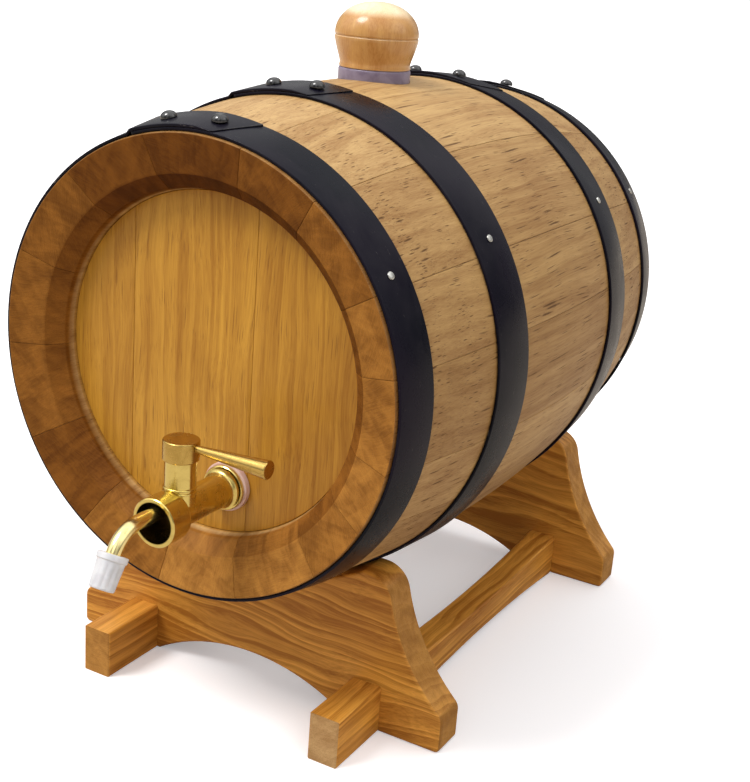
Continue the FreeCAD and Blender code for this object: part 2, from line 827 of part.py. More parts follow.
def make_cradle(label, front, horn_height, saddle_radius):
    """Cross board: saddle for the cask above, horns, sloping sides, feet and an arch below."""
    drop = dim["axis_height"] - horn_height
    horn_tip = root(saddle_radius * saddle_radius - drop * drop)
    foot, horn = dim["foot_half_width"], dim["horn_half_width"]
    foot_top, arch = dim["foot_height"], dim["arch_half_width"]
    waist = (foot + horn) / 2 - 4.6
    waist_level = (foot_top + horn_height) / 2 - 3
    body = new_body(label, y=front)
    sketch = new_sketch(body, "XZ_Plane", f"{label}_outline")
    draw_path(sketch, [
        (foot, 0),
        (foot, foot_top),
        Through(waist, waist_level),
        (horn, horn_height),
        (horn_tip, horn_height),
        Through(0, dim["axis_height"] - saddle_radius),
        (-horn_tip, horn_height),
        (-horn, horn_height),
        Through(-waist, waist_level),
        (-foot, foot_top),
        (-foot, 0),
        (-arch, 0),
        Through(0, dim["arch_height"]),
        (arch, 0),
    ], closed=True)
    pad = body.newObject("PartDesign::Pad", f"{label}_board")
    pad.Profile = sketch
    pad.Reversed = True
    bind(pad, "Length", dim["board_thickness"])
    doc.recompute()
    for name, radius, across, level in (
        ("horns", 12, horn.value, horn_height.value),
        ("tips", 2, horn_tip.value, horn_height.value),
        ("foot_tops", 5, foot.value, foot_top.value),
        ("foot_edges", 2, foot.value, 0),
    ):
        spots = [(across, level), (-across, level)]
        round_edges(body, f"{label}_{name}", edges_between(body.Tip.Shape, spots), radius)
    rims = face_rim(body.Tip.Shape, 0) + face_rim(body.Tip.Shape, dim["board_thickness"].value)
    round_edges(body, f"{label}_soft_edges", rims, 1.2)
    notch = new_sketch(body, "XZ_Plane", f"{label}_notch_outline")
    half = dim["stretcher_width"] / 2 + fit
    for side in (-1, 1):
        left, right = side * dim["stretcher_place"] - half, side * dim["stretcher_place"] + half
        draw_path(notch, [(left, -5), (right, -5), (right, dim["lap_height"] + fit),
                          (left, dim["lap_height"] + fit)], closed=True)
    cut = body.newObject("PartDesign::Pocket", f"{label}_notches")
    cut.Profile = notch
    cut.Type = "ThroughAll"
    cut.Midplane = True
    middle = dim["board_thickness"].value / 2
    for number, side in enumerate((-1, 1), start=1):
        across = side * dim["stretcher_place"].value
        tool_cylinder(body, "Subtractive", f"{label}_pilot_{number}", dim["screw_radius"] + fit, 23,
                      (across, middle, 0), (0, 0, 1))


def make_stretcher(label, side):
    """Long rail under both cradles: square ends, scooped top and an arched underside between them."""
    height = dim["stretcher_height"]
    board = dim["board_thickness"]
    front = dim["front_board_place"] - dim["stretcher_overhang"]
    back = dim["rear_board_place"] + board + dim["stretcher_overhang"]
    scoop_front = dim["front_board_place"] + board + 3
    scoop_back = dim["rear_board_place"] - 3
    middle = (scoop_front + scoop_back) / 2
    body = new_body(label, x=side * dim["stretcher_place"])
    sketch = new_sketch(body, "YZ_Plane", f"{label}_outline")
    draw_path(sketch, [
        (front, 0),
        (scoop_front, 0),
        Through(middle, dim["stretcher_scoop"]),
        (scoop_back, 0),
        (back, 0),
        (back, height),
        (scoop_back, height),
        Through(middle, height - dim["stretcher_scoop"]),
        (scoop_front, height),
        (front, height),
    ], closed=True)
    pad = body.newObject("PartDesign::Pad", f"{label}_rail")
    pad.Profile = sketch
    pad.Midplane = True
    bind(pad, "Length", dim["stretcher_width"])
    doc.recompute()
    half = dim["stretcher_width"].value / 2
    rims = face_rim(body.Tip.Shape, -half, "x") + face_rim(body.Tip.Shape, half, "x")
    round_edges(body, f"{label}_soft_edges", rims, 1)
    laps = new_sketch(body, "YZ_Plane", f"{label}_laps_outline")
    for start in (dim["front_board_place"], dim["rear_board_place"]):
        near, far = start - fit, start + board + fit
        draw_path(laps, [(near, dim["lap_height"]), (far, dim["lap_height"]),
                         (far, height + 5), (near, height + 5)], closed=True)
    cut = body.newObject("PartDesign::Pocket", f"{label}_laps")
    cut.Profile = laps
    cut.Type = "ThroughAll"
    cut.Midplane = True
    for number, start in enumerate((dim["front_board_place"], dim["rear_board_place"]), start=1):
        along = (start + board / 2).value
        up = (0, 0, 1)
        tool_cylinder(body, "Subtractive", f"{label}_screw_hole_{number}", dim["screw_radius"] + fit, 30,
                      (0, along, -5), up)
        tool_cylinder(body, "Subtractive", f"{label}_screw_seat_{number}", dim["screw_head_radius"] + fit,
                      8, (0, along, -5), up)


def make_lap_screws():
    """Four flat-headed screws, driven up through the rails into the cradles."""
    radius, head = dim["screw_radius"].value, dim["screw_head_radius"].value
    length = dim["screw_length"].value
    screws = []
    for side in (-1, 1):
        for start in (dim["front_board_place"], dim["rear_board_place"]):
            across = side * dim["stretcher_place"].value
            along = (start + dim["board_thickness"] / 2).value
            shank = Part.makeCylinder(radius, length, Vector(across, along, 1))
            cap = Part.makeCylinder(head, 1.9, Vector(across, along, 1))
            slot = Part.makeBox(head * 3, 0.9, 1, Vector(across - head * 1.5, along - 0.45, 0.7))
            screws.append(shank.fuse(cap).cut(slot).removeSplitter())
    item = doc.addObject("Part::Feature", "lap_screws")
    item.Label = "lap_screws"
    item.Shape = Part.makeCompound(screws)
    place(item)
    nodes.append(item)


# ---------------------------------------------------------------- build, test and write

make_staves()
make_head("front", -1, FRONT_HEAD_JOINTS)
make_head("rear", 1, REAR_HEAD_JOINTS)
make_hoops()
make_fasteners()
make_bung()
make_tap_body()
make_tap_valve()
make_tap_mounting()
make_spout()
make_cradle("front_cradle", dim["front_board_place"], dim["front_horn_height"], dim["front_saddle_radius"])
make_cradle("rear_cradle", dim["rear_board_place"], dim["rear_horn_height"], dim["rear_saddle_radius"])
make_stretcher("left_stretcher", -1)
make_stretcher("right_stretcher", 1)
make_lap_screws()
doc.recompute()

failed = [item.Name for item in doc.Objects if "Invalid" in item.State or "Error" in item.State]
if failed:
    raise RuntimeError(f"objects that did not build: {failed}")

os.makedirs("parts", exist_ok=True)
for node in nodes:
    if node.Shape.isNull() or not node.Shape.isValid():
        raise RuntimeError(f"bad shape: {node.Label}")
    node.Shape.exportStep(f"parts/{node.Label}.step")
    print(f"{node.Label}: {len(node.Shape.Solids)} solid(s), {node.Shape.Volume:.1f} mm3")
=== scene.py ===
import math
import random

import bmesh
import bpy
import numpy as np
from mathutils import Matrix, Vector


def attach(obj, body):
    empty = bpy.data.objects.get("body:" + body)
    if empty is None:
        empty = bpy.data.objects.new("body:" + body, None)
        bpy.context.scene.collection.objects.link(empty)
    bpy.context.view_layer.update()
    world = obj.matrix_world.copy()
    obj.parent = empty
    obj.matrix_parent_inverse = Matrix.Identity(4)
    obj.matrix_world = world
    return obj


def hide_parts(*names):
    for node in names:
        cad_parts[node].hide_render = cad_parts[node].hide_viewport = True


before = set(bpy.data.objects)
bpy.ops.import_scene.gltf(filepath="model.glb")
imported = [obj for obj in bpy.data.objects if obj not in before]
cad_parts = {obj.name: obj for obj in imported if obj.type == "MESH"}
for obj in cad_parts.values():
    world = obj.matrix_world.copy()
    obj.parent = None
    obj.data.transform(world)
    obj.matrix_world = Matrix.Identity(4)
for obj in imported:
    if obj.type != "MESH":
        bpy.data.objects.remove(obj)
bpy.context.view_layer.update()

# Looks of a small oak ageing cask on its cradle. Lengths are in millimetres until they become
# vertices; the scene itself is in metres and in the frame of the CAD part (+Z up, -Y front).
MM = 0.001
PER_METRE = (1000, 1000, 1000)
RNG = random.Random(20)

CASK_Y = 17.1
CASK_Z = 154.0
TAP_X = 11.0
TAP_Z = CASK_Z - 45.6
HALF_LENGTH = 129.0
BILGE_RADIUS = 100.0
END_RADIUS = 87.5
SAG = BILGE_RADIUS - END_RADIUS
ARC_RADIUS = (HALF_LENGTH ** 2 + SAG ** 2) / (2 * SAG)
HEAD_DEPTH = 14.7
HEAD_FACE = HEAD_DEPTH - HALF_LENGTH
HOWEL_RADIUS = 66
CROZE_RADIUS = 69.06
CROZE_DEPTHS = (17.14, 22.26)
MOUTH_Y = CASK_Y + HEAD_FACE - 46
BUNG_X = -2.8
SEAT_HEIGHT = 98.6

# Degrees round the cask run anticlockwise from its right side, as seen from the front; spans run along it.
STAVE_WIDTHS = (19, 25, 22, 28, 26, 27, 26, 26, 26, 27, 24, 26, 18, 17, 23)
FIRST_SEAM = 11
BUNG_STAVE = 4
NAIL_ANGLE = 33
RIVET_ANGLES = ((87.5, 101.5), (87.5, 99), (84.5, 97.5), (86.5, 100.5))
HOOP_SPANS = ((-127.8, -109.6), (-67.6, -45.2), (45.2, 67.6), (109.6, 127.8))
HOOP_THICKNESS = 1.2
HOOP_CLEARANCE = 0.14


# ---------------------------------------------------------------- geometry

def bilge(along):
    """Outside radius of the cask at a distance from its middle; also for arrays."""
    return np.sqrt(ARC_RADIUS ** 2 - along ** 2) - ARC_RADIUS + BILGE_RADIUS


def spread(start, stop, count):
    """Evenly spaced values from start to stop, both included."""
    return [start + (stop - start) * i / (count - 1) for i in range(count)]


def arc(centre, radius, start, stop, count, squash=1.0):
    """Points (across, up) of an arc, angles in degrees."""
    points = []
    for angle in spread(math.radians(start), math.radians(stop), count):
        across = centre[0] + radius * math.cos(angle)
        up = centre[1] + radius * squash * math.sin(angle)
        points.append((across, up))
    return points


def rounded(corners, radius, steps=4):
    """Closed outline with every corner rounded; a corner may carry its own radius as a third value."""
    points = []
    count = len(corners)
    for i, corner in enumerate(corners):
        here = Vector(corner[:2])
        before = Vector(corners[i - 1][:2]) - here
        after = Vector(corners[(i + 1) % count][:2]) - here
        size = corner[2] if len(corner) > 2 else radius
        if size <= 0:
            points.append(tuple(here))
            continue
        half = before.angle(after) / 2
        reach = min(size / math.tan(half), before.length * 0.49, after.length * 0.49)
        size = reach * math.tan(half)
        middle = here + (before.normalized() + after.normalized()).normalized() * (size / math.sin(half))
        first = here + before.normalized() * reach - middle
        last = here + after.normalized() * reach - middle
        turn = first.angle_signed(last)
        for k in range(steps + 1):
            point = first.copy()
            point.rotate(Matrix.Rotation(-turn * k / steps, 2))
            points.append(tuple(middle + point))
    return points


def skin(rings, looped=False):
    """Vertices and faces that join a row of equal closed rings; unless looped, the ends are capped."""
    count = len(rings[0])
    verts = [point for ring in rings for point in ring]
    faces = []
    for k in range(len(rings) if looped else len(rings) - 1):
        a, b = k * count, (k + 1) % len(rings) * count
        for i in range(count):
            j = (i + 1) % count
            faces.append((a + i, a + j, b + j, b + i))
    if not looped:
        faces.append(tuple(range(count)))
        faces.append(tuple(range(len(verts) - count, len(verts))))
    return verts, faces


def lathe(profile, turns=96):
    """Turned solid round Z from (radius, height) points, which form a closed section or end on the axis."""
    rings = []
    for k in range(turns):
        angle = math.tau * k / turns
        rings.append([(r * math.cos(angle), r * math.sin(angle), h) for r, h in profile])
    return skin(rings, looped=True)


def rod(radius, low, high):
    """Cylinder round Z between two heights."""
    return lathe([(0, low), (radius, low), (radius, high), (0, high)])


def merged(parts):
    """One list of vertices and one of faces from several parts."""
    verts, faces = [], []
    for part_verts, part_faces in parts:
        base = len(verts)
        verts += part_verts
        faces += [tuple(base + i for i in face) for face in part_faces]
    return verts, faces


def moved(part, matrix):
    """The part with every vertex transformed."""
    verts, faces = part
    return [tuple(matrix @ Vector(v)) for v in verts], faces


def tidy_mesh(mesh, crease):
    """Merges doubled vertices, turns faces outwards and keeps edges sharper than crease degrees crisp."""
    work = bmesh.new()
    work.from_mesh(mesh)
    bmesh.ops.remove_doubles(work, verts=work.verts, dist=2e-6)
    bmesh.ops.recalc_face_normals(work, faces=work.faces)
    work.to_mesh(mesh)
    work.free()
    mesh.shade_smooth()
    mesh.set_sharp_from_angle(angle=math.radians(crease))


def loose_object(name, part, crease=35):
    """Mesh object from millimetres, not yet part of the cask."""
    verts, faces = part
    mesh = bpy.data.meshes.new(name)
    mesh.from_pydata([(x * MM, y * MM, z * MM) for x, y, z in verts], [], faces)
    tidy_mesh(mesh, crease)
    made = bpy.data.objects.new(name, mesh)
    bpy.context.scene.collection.objects.link(made)
    return made


def carve(target, cutters, crease=35):
    """Cuts loose solids out of an object, one after the other, and removes them."""
    for cutter in cutters:
        change = target.modifiers.new("change", "BOOLEAN")
        change.operation = "DIFFERENCE"
        change.solver = "EXACT"
        change.object = cutter
        graph = bpy.context.evaluated_depsgraph_get()
        mesh = bpy.data.meshes.new_from_object(target.evaluated_get(graph))
        target.modifiers.clear()
        old = target.data
        target.data = mesh
        bpy.data.meshes.remove(old)
        bpy.data.objects.remove(cutter)
    tidy_mesh(target.data, crease)


def on_cask(angle, along, radius):
    """Point in the frame from the angle round the cask, the place along it and the radius."""
    turn = math.radians(angle)
    return (radius * math.cos(turn), CASK_Y + along, CASK_Z + radius * math.sin(turn))


def add_grain(piece, rule, tone=0.0, stained=None, end_light_and_tone=0.0):
    """Stores on each vertex its wood coordinates (along, across and through the grain, in metres), a tone (on
    the chimes also painted light and shade) and how much of the brown finish of the cask's ends it carries
    (over 1: darkened as well, which is painted shade)."""
    mesh = piece.data
    count = len(mesh.vertices)
    flat = np.empty(count * 3, dtype=np.float32)
    mesh.vertices.foreach_get("co", flat)
    places = flat.reshape(-1, 3)
    grain = rule(places).astype(np.float32)
    mesh.attributes.new("grain", "FLOAT_VECTOR", "POINT").data.foreach_set("vector", grain.ravel())
    stains = stained(places) if stained else np.zeros(count)
    # On the chimes the tone comes from the chime values, which are painted light and shade as well as tone.
    tones = np.where(stains >= 1, end_light_and_tone, tone)
    for name, values in (("tone", tones), ("stain", stains)):
        data = mesh.attributes.new(name, "FLOAT", "POINT").data
        data.foreach_set("value", values.astype(np.float32))


def finish_piece(piece, body, node, material):
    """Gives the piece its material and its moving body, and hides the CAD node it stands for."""
    piece.data.materials.clear()
    piece.data.materials.append(material)
    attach(piece, body)
    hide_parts(node)


# ---------------------------------------------------------------- materials

def linear(value):
    """Linear light of one 0-255 display value."""
    return ((value / 255 + 0.055) / 1.055) ** 2.4 if value > 10 else value / 3294.6


def srgb(red, green, blue):
    """Linear opaque colour from 0-255 display values."""
    return (linear(red), linear(green), linear(blue), 1)


class Net:
    """A node tree with one short call per kind of node."""

    def __init__(self, tree):
        self.tree = tree

    def feed(self, socket, value):
        """Links or sets an input; None leaves it alone."""
        if isinstance(value, bpy.types.NodeSocket):
            self.tree.links.new(value, socket)
        elif value is not None:
            socket.default_value = value

    def put(self, kind, inputs=None, **settings):
        node = self.tree.nodes.new("ShaderNode" + kind)
        for key, value in settings.items():
            setattr(node, key, value)
        for key, value in (inputs or {}).items():
            self.feed(node.inputs[key], value)
        return node

    def math(self, operation, *values, clamp=False):
        node = self.put("Math", operation=operation, use_clamp=clamp)
        for socket, value in zip(node.inputs, values):
            self.feed(socket, value)
        return node.outputs[0]

    def vector(self, operation, *values):
        node = self.put("VectorMath", operation=operation)
        for socket, value in zip(node.inputs, values):
            self.feed(socket, value)
        return node.outputs["Value" if operation in ("LENGTH", "DOT_PRODUCT") else "Vector"]

    def noise(self, place, factors=(1, 1, 1), detail=2.0, rough=0.5, twist=0.0, output="Fac"):
        place = self.vector("MULTIPLY", place, factors)
        node = self.put("TexNoise", {"Vector": place, "Scale": 1.0, "Detail": detail,
                                     "Roughness": rough, "Distortion": twist})
        return node.outputs[output]

    def cells(self, place, factors):
        """Cell pattern with a random colour per cell and the distance from its middle."""
        place = self.vector("MULTIPLY", place, factors)
        return self.put("TexVoronoi", {"Vector": place, "Scale": 1.0}).outputs

    def span(self, value, low, high, to_low=0.0, to_high=1.0, smooth=True):
        """Maps low..high to another range, held at both ends."""
        node = self.put("MapRange", {"Value": value, "From Min": low, "From Max": high,
                                     "To Min": to_low, "To Max": to_high})
        node.interpolation_type = "SMOOTHSTEP" if smooth else "LINEAR"
        return node.outputs["Result"]

    def mix(self, factor, first, second):
        """Mixes two plain numbers."""
        node = self.put("Mix", data_type="FLOAT")
        for slot, value in zip((0, 2, 3), (factor, first, second)):
            self.feed(node.inputs[slot], value)
        return node.outputs[0]

    def blend(self, factor, first, second, kind="MIX"):
        """Mixes two colours."""
        node = self.put("Mix", data_type="RGBA", blend_type=kind)
        for slot, value in zip((0, 6, 7), (factor, first, second)):
            self.feed(node.inputs[slot], value)
        return node.outputs[2]

    def split(self, place):
        return self.put("SeparateXYZ", {"Vector": place}).outputs

    def join(self, *values):
        node = self.put("CombineXYZ")
        for socket, value in zip(node.inputs, values):
            self.feed(socket, value)
        return node.outputs[0]

    def attribute(self, name, output):
        return self.put("Attribute", attribute_name=name).outputs[output]

    def object_place(self):
        """Place in the frame, in millimetres."""
        return self.vector("MULTIPLY", self.put("TexCoord").outputs["Object"], PER_METRE)

    def bump(self, height, distance, strength):
        """Normal tilted by a height whose full range is distance millimetres."""
        node = self.put("Bump", {"Height": height, "Distance": distance * MM, "Strength": strength})
        return node.outputs["Normal"]


class Surface(Net):
    """The node tree of a new material."""

    def __init__(self, name):
        self.material = bpy.data.materials.new(name)
        self.material.use_nodes = True
        super().__init__(self.material.node_tree)

    def finish(self, **values):
        """Feeds the shader and returns the material; underscores in the names stand for spaces."""
        shader = self.tree.nodes["Principled BSDF"]
        for key, value in values.items():
            self.feed(shader.inputs[key.replace("_", " ")], value)
        return self.material


class Timber:
    """Look of one kind of wood: lengths in millimetres, the rest as strengths.

    Besides the values below it has light, dark and pore (colours of the side grain), end_light and end_dark
    (colours of the end grain; on the knob, a painted highlight on its top), end_axis (the direction the end
    grain faces), ring and ring_depth (width and contrast of the growth rings) and wave (how far the grain
    wanders).
    """

    order = None         # frame axes along, across and through the grain; None: stored on the mesh
    shift = (0, 0, 0)    # start of the pattern
    pith = (14, 60)      # middle of the growth rings, across and through the grain
    pores = 1.0
    long_pores = 1.0
    streaks = 1.0
    bands = 1.0
    saw = 1.0
    relief = 1.0
    roughness = 0.5
    coat = 0.0

    def __init__(self, **settings):
        for key, value in settings.items():
            setattr(self, key, value)


# Patterns in the wood, in cycles per millimetre along, across and through the grain.
WANDER = (0.011, 0.03, 0.03)
FINE_STREAKS = (0.045, 1.7, 1.7)
BROAD_BANDS = (0.012, 0.2, 0.2)
BLOTCHES = (0.018, 0.03, 0.03)
RAGGED_EDGES = (0.5, 2.2, 2.2)
SAW_MARKS = (0.4, 0.12, 2.6)
END_DOTS = (0.3, 2.0, 2.0)
END_PATCHES = (0.02, 0.09, 0.09)
PORE_KINDS = (
    # pattern, share of cells with a pore, size within the cell, strength; the first kind is the long one
    ((0.019, 0.46, 0.46), 0.36, 0.26, 0.95),
    ((0.042, 1.1, 1.1), 0.44, 0.32, 0.85),
    ((0.11, 2.8, 2.8), 0.32, 0.38, 0.55),
)
BARE_GOLD = srgb(250, 232, 176)


def wood_place(net, look):
    """Grain coordinates in millimetres, tone (on the chimes also painted light and shade), finish (over 1
    also painted shade) and share of end grain.
    """
    facing = net.vector("DOT_PRODUCT", net.put("TexCoord").outputs["Normal"], look.end_axis)
    end = net.span(net.math("ABSOLUTE", facing), 0.6, 0.86)
    if look.order is None:
        grain = net.vector("MULTIPLY", net.attribute("grain", "Vector"), PER_METRE)
        return grain, net.attribute("tone", "Fac"), net.attribute("stain", "Fac"), end
    here = net.split(net.object_place())
    grain = net.vector("ADD", net.join(*[here[i] for i in look.order]), look.shift)
    return grain, 0.0, end, end


def late_wood(net, look, bent):
    """Share of dark late wood in growth rings of uneven width round the pith."""
    part = net.split(bent)
    across = net.math("ADD", part[1], look.pith[0])
    through = net.math("ADD", part[2], look.pith[1])
    radius = net.vector("LENGTH", net.join(0.0, across, through))
    drift = net.noise(net.join(radius, 0.0, 0.0), (0.12, 1, 1), 1)
    turns = net.math("ADD", net.math("DIVIDE", radius, look.ring), net.math("MULTIPLY", drift, 3.0))
    ring = net.math("FRACT", turns)
    return net.math("SUBTRACT", net.span(ring, 0.0, 0.8), net.span(ring, 0.86, 1.0))


def pore_marks(net, look, grain, bent, broad):
    """Depth of the pores, long and short, which are more frequent in the dark bands."""
    ragged = net.math("SUBTRACT", net.noise(grain, RAGGED_EDGES, 2), 0.5)
    ragged = net.math("MULTIPLY", ragged, 0.14)
    marks = []
    amounts = (look.long_pores, 1.0, 1.0)
    for amount, (factors, chance, reach, strength) in zip(amounts, PORE_KINDS):
        rarity = 1.25 - chance * amount
        dash = net.cells(bent, factors)
        luck = net.math("MULTIPLY_ADD", broad, 0.5, net.split(dash["Color"])[0])
        kept = net.span(luck, rarity, rarity + 0.04)
        depth = net.span(net.math("ADD", dash["Distance"], ragged), reach, reach * 0.35)
        marks.append(net.math("MULTIPLY", net.math("MULTIPLY", depth, kept), strength))
    deepest = net.math("MAXIMUM", marks[0], net.math("MAXIMUM", marks[1], marks[2]))
    return net.math("MULTIPLY", deepest, look.pores, clamp=True)


def side_share(net, look, grain, late, fine, broad):
    """Share of the dark colour on the side grain."""
    blotch = net.noise(grain, BLOTCHES, 2, 0.5)
    rings = net.math("MULTIPLY", late, look.ring_depth)
    share = net.math("MULTIPLY_ADD", net.span(fine, 0.3, 0.72), 0.34 * look.streaks, rings)
    share = net.math("MULTIPLY_ADD", net.span(broad, 0.32, 0.7), 0.40 * look.bands, share)
    return net.math("MULTIPLY_ADD", net.math("SUBTRACT", blotch, 0.5), 0.9, share, clamp=True)


def end_share(net, look, grain, late, kerf):
    """Share of the dark colour on the end grain."""
    patch = net.noise(grain, END_PATCHES, 3, 0.6, 0.5)
    rings = net.math("MULTIPLY", late, 0.12)
    share = net.math("MULTIPLY_ADD", net.span(kerf, 0.35, 0.7), 0.2 * look.saw, rings)
    return net.math("MULTIPLY_ADD", net.span(patch, 0.3, 0.7), 0.6, share, clamp=True)


def toned(net, colour, tone, stain):
    """The colour made lighter or darker by the tone (on the chimes also painted light and shade), and darker
    where the finish is over 1, which is painted shade.
    """
    lift = net.math("MULTIPLY_ADD", tone, 0.34, 1.0)
    # A finish over 1 darkens the colour: painted shade on the chime bevels.
    lift = net.math("MULTIPLY", lift, net.span(stain, 1.0, 2.0, 1.0, 0.5, smooth=False))
    tint = net.join(lift, net.math("POWER", lift, 1.3), net.math("POWER", lift, 1.8))
    return net.blend(1.0, colour, tint, "MULTIPLY")


def wood(name, look):
    """Oak-like wood with growth rings, streaks, pores, saw marks and end grain."""
    net = Surface(name)
    grain, tone, stain, end = wood_place(net, look)
    wander = net.vector("SUBTRACT", net.noise(grain, WANDER, 2, 0.5, 0, "Color"), (0.5, 0.5, 0.5))
    bent = net.vector("ADD", grain, net.vector("MULTIPLY", wander, (0, look.wave * 2, look.wave * 2)))
    late = late_wood(net, look, bent)
    fine = net.noise(bent, FINE_STREAKS, 3, 0.65)
    broad = net.noise(bent, BROAD_BANDS, 3, 0.6)
    kerf = net.noise(bent, SAW_MARKS, 3, 0.65, 0.5)
    dot = net.span(net.cells(grain, END_DOTS)["Distance"], 0.42, 0.2)
    body = side_share(net, look, grain, late, fine, broad)
    face = end_share(net, look, grain, late, kerf)
    holes = pore_marks(net, look, grain, bent, broad)

    plain = net.blend(net.math("MULTIPLY", holes, 0.85), net.blend(body, look.light, look.dark), look.pore)
    plain = net.blend(net.span(stain, -0.4, 0.0, 1.0, 0.0), plain, BARE_GOLD, "MULTIPLY")
    ends = net.blend(face, look.end_light, look.end_dark)
    ends = net.blend(net.math("MULTIPLY", dot, 0.25), ends, look.pore)
    finished = net.math("MAXIMUM", net.math("MINIMUM", stain, 1.0), 0.0)
    colour = toned(net, net.blend(finished, plain, ends), tone, stain)

    solid = net.math("MULTIPLY", net.math("SUBTRACT", 1.0, holes), 0.8)
    side = net.math("MULTIPLY_ADD", late, 0.25, net.math("MULTIPLY_ADD", fine, 0.45, solid))
    sawn = net.math("MULTIPLY_ADD", dot, -0.35, net.math("MULTIPLY", kerf, 0.9 * look.saw))
    height = net.mix(end, side, sawn)
    gloss = net.math("MULTIPLY_ADD", body, 0.12, net.math("MULTIPLY", holes, 0.2))
    gloss = net.math("ADD", gloss, net.math("MULTIPLY_ADD", end, 0.1, look.roughness - 0.05))
    return net.finish(Base_Color=colour, Roughness=gloss, Normal=net.bump(height, 0.16 * look.relief, 0.6),
                      Specular_IOR_Level=net.span(stain, 0.5, 1.0, 0.25, 0.07),
                      Coat_Weight=look.coat, Coat_Roughness=0.18)


def steel(name):
    """Blued strip steel: satin, with faint rolling marks, smudges, brighter scratches and worn edges that are
    also painted highlights.
    """
    net = Surface(name)
    place = net.object_place()
    smudge = net.noise(place, (0.035, 0.05, 0.035), 4, 0.6, 0.5)
    cloud = net.noise(place, (0.012, 0.02, 0.012), 2)
    rolled = net.noise(place, (0.05, 1.8, 0.05), 3, 0.6)
    pits = net.noise(place, (0.9, 0.9, 0.9), 4, 0.7)
    colour = net.blend(net.span(cloud, 0.35, 0.65), srgb(8, 11, 21), srgb(20, 15, 29))
    colour = net.blend(net.span(smudge, 0.45, 0.8), colour, srgb(30, 28, 36))
    edge = net.put("NewGeometry").outputs["Pointiness"]
    # Brighter steel on sharp edges: wear, and also painted highlights along the hoop edges.
    edge_wear_and_glint = net.math("MULTIPLY", net.span(edge, 0.53, 0.66), net.span(pits, 0.42, 0.66))
    scratch = net.span(net.noise(place, (0.12, 2.4, 0.4), 2, 0.5, 1.2), 0.735, 0.76)
    worn_and_glint = net.math("MAXIMUM", edge_wear_and_glint, net.math("MULTIPLY", scratch, 0.55))
    colour = net.blend(net.math("MULTIPLY", worn_and_glint, 0.5), colour, srgb(128, 122, 116))
    rough = net.math("ADD", net.span(smudge, 0.3, 0.75, 0.18, 0.32), net.math("MULTIPLY", pits, 0.1))
    height = net.math("ADD", net.math("MULTIPLY", rolled, 0.5), net.math("MULTIPLY", pits, 0.5))
    return net.finish(Base_Color=colour, Roughness=rough, Metallic=0.0, Specular_IOR_Level=0.1,
                      Normal=net.bump(height, 0.05, 0.5))


def bore_shade(net, place, colour):
    """Painted shade in the bore of the tap's mouth, darkest deep inside."""
    x, y, z = net.split(place)[:3]
    across = net.math("SUBTRACT", x, TAP_X)
    rise = net.math("SUBTRACT", z, TAP_Z)
    off = net.vector("LENGTH", net.join(across, rise, 0.0))
    inside = net.math("MULTIPLY", net.span(off, 8.3, 7.7), net.span(y, MOUTH_Y + 8.6, MOUTH_Y + 8.0))
    deep = net.math("MULTIPLY", inside, net.span(y, MOUTH_Y, MOUTH_Y + 5, 0.55, 0.97))
    return net.blend(deep, colour, srgb(34, 22, 10))


def metal(name, base, stained, roughness, brushed, axis=1, stain=0.5, bumps=0.02, metallic=1.0, shine=0.5,
          shaded_bore=False):
    """Plain, painted or plated metal with fine turning marks round an axis, stains and uneven polish; it can
    also paint shade into the bore of the tap's mouth.
    """
    net = Surface(name)
    place = net.object_place()
    factors = [0.25, 0.25, 0.25]
    factors[axis] = 5.0
    lines = net.noise(place, factors, 3, 0.65)
    dull = net.noise(place, (0.16, 0.16, 0.16), 4, 0.62, 0.6)
    specks = net.noise(place, (1.4, 1.4, 1.4), 3, 0.7)
    colour = net.blend(net.math("MULTIPLY", net.span(dull, 0.42, 0.72), stain), base, stained)
    colour = net.blend(net.math("MULTIPLY", net.span(specks, 0.62, 0.74), stain * 0.8), colour, stained)
    if shaded_bore:
        colour = bore_shade(net, place, colour)
    rough = net.span(dull, 0.3, 0.75, roughness, roughness + 0.16)
    rough = net.math("ADD", rough, net.math("MULTIPLY", lines, 0.06))
    height = net.math("ADD", net.math("MULTIPLY", lines, brushed), net.math("MULTIPLY", specks, 0.4))
    return net.finish(Base_Color=colour, Roughness=rough, Metallic=metallic, Specular_IOR_Level=shine,
                      Normal=net.bump(height, bumps, 0.6))


def rubber(name, base, shaded, roughness, clear, scatter=0.0):
    """Silicone or soft plastic: cloudy, a little see-through, with a fine moulded skin."""
    net = Surface(name)
    place = net.object_place()
    cloud = net.noise(place, (0.12, 0.12, 0.12), 3, 0.6, 0.4)
    grit = net.noise(place, (1.6, 1.6, 1.6), 3, 0.6)
    colour = net.blend(net.span(cloud, 0.35, 0.7), base, shaded)
    rough = net.math("MULTIPLY_ADD", grit, 0.18, roughness)
    return net.finish(Base_Color=colour, Roughness=rough, Transmission_Weight=clear, IOR=1.41,
                      Subsurface_Weight=scatter, Subsurface_Radius=(0.004, 0.003, 0.0028),
                      Subsurface_Scale=1.0, Normal=net.bump(grit, 0.05, 0.5))


ALONG_X = dict(end_axis=(1, 0, 0), order=(0, 2, 1))
ALONG_Y = dict(end_axis=(0, 1, 0), order=(1, 0, 2))
STAND = dict(light=srgb(234, 168, 72), dark=srgb(164, 102, 30), pore=srgb(98, 54, 14), pores=0.3,
             long_pores=0, roughness=0.46, relief=2.6, coat=0.08)
TAN_ENDS = dict(end_light=srgb(196, 142, 72), end_dark=srgb(140, 92, 40))
PALE_ENDS = dict(end_light=srgb(206, 168, 118), end_dark=srgb(156, 114, 66))

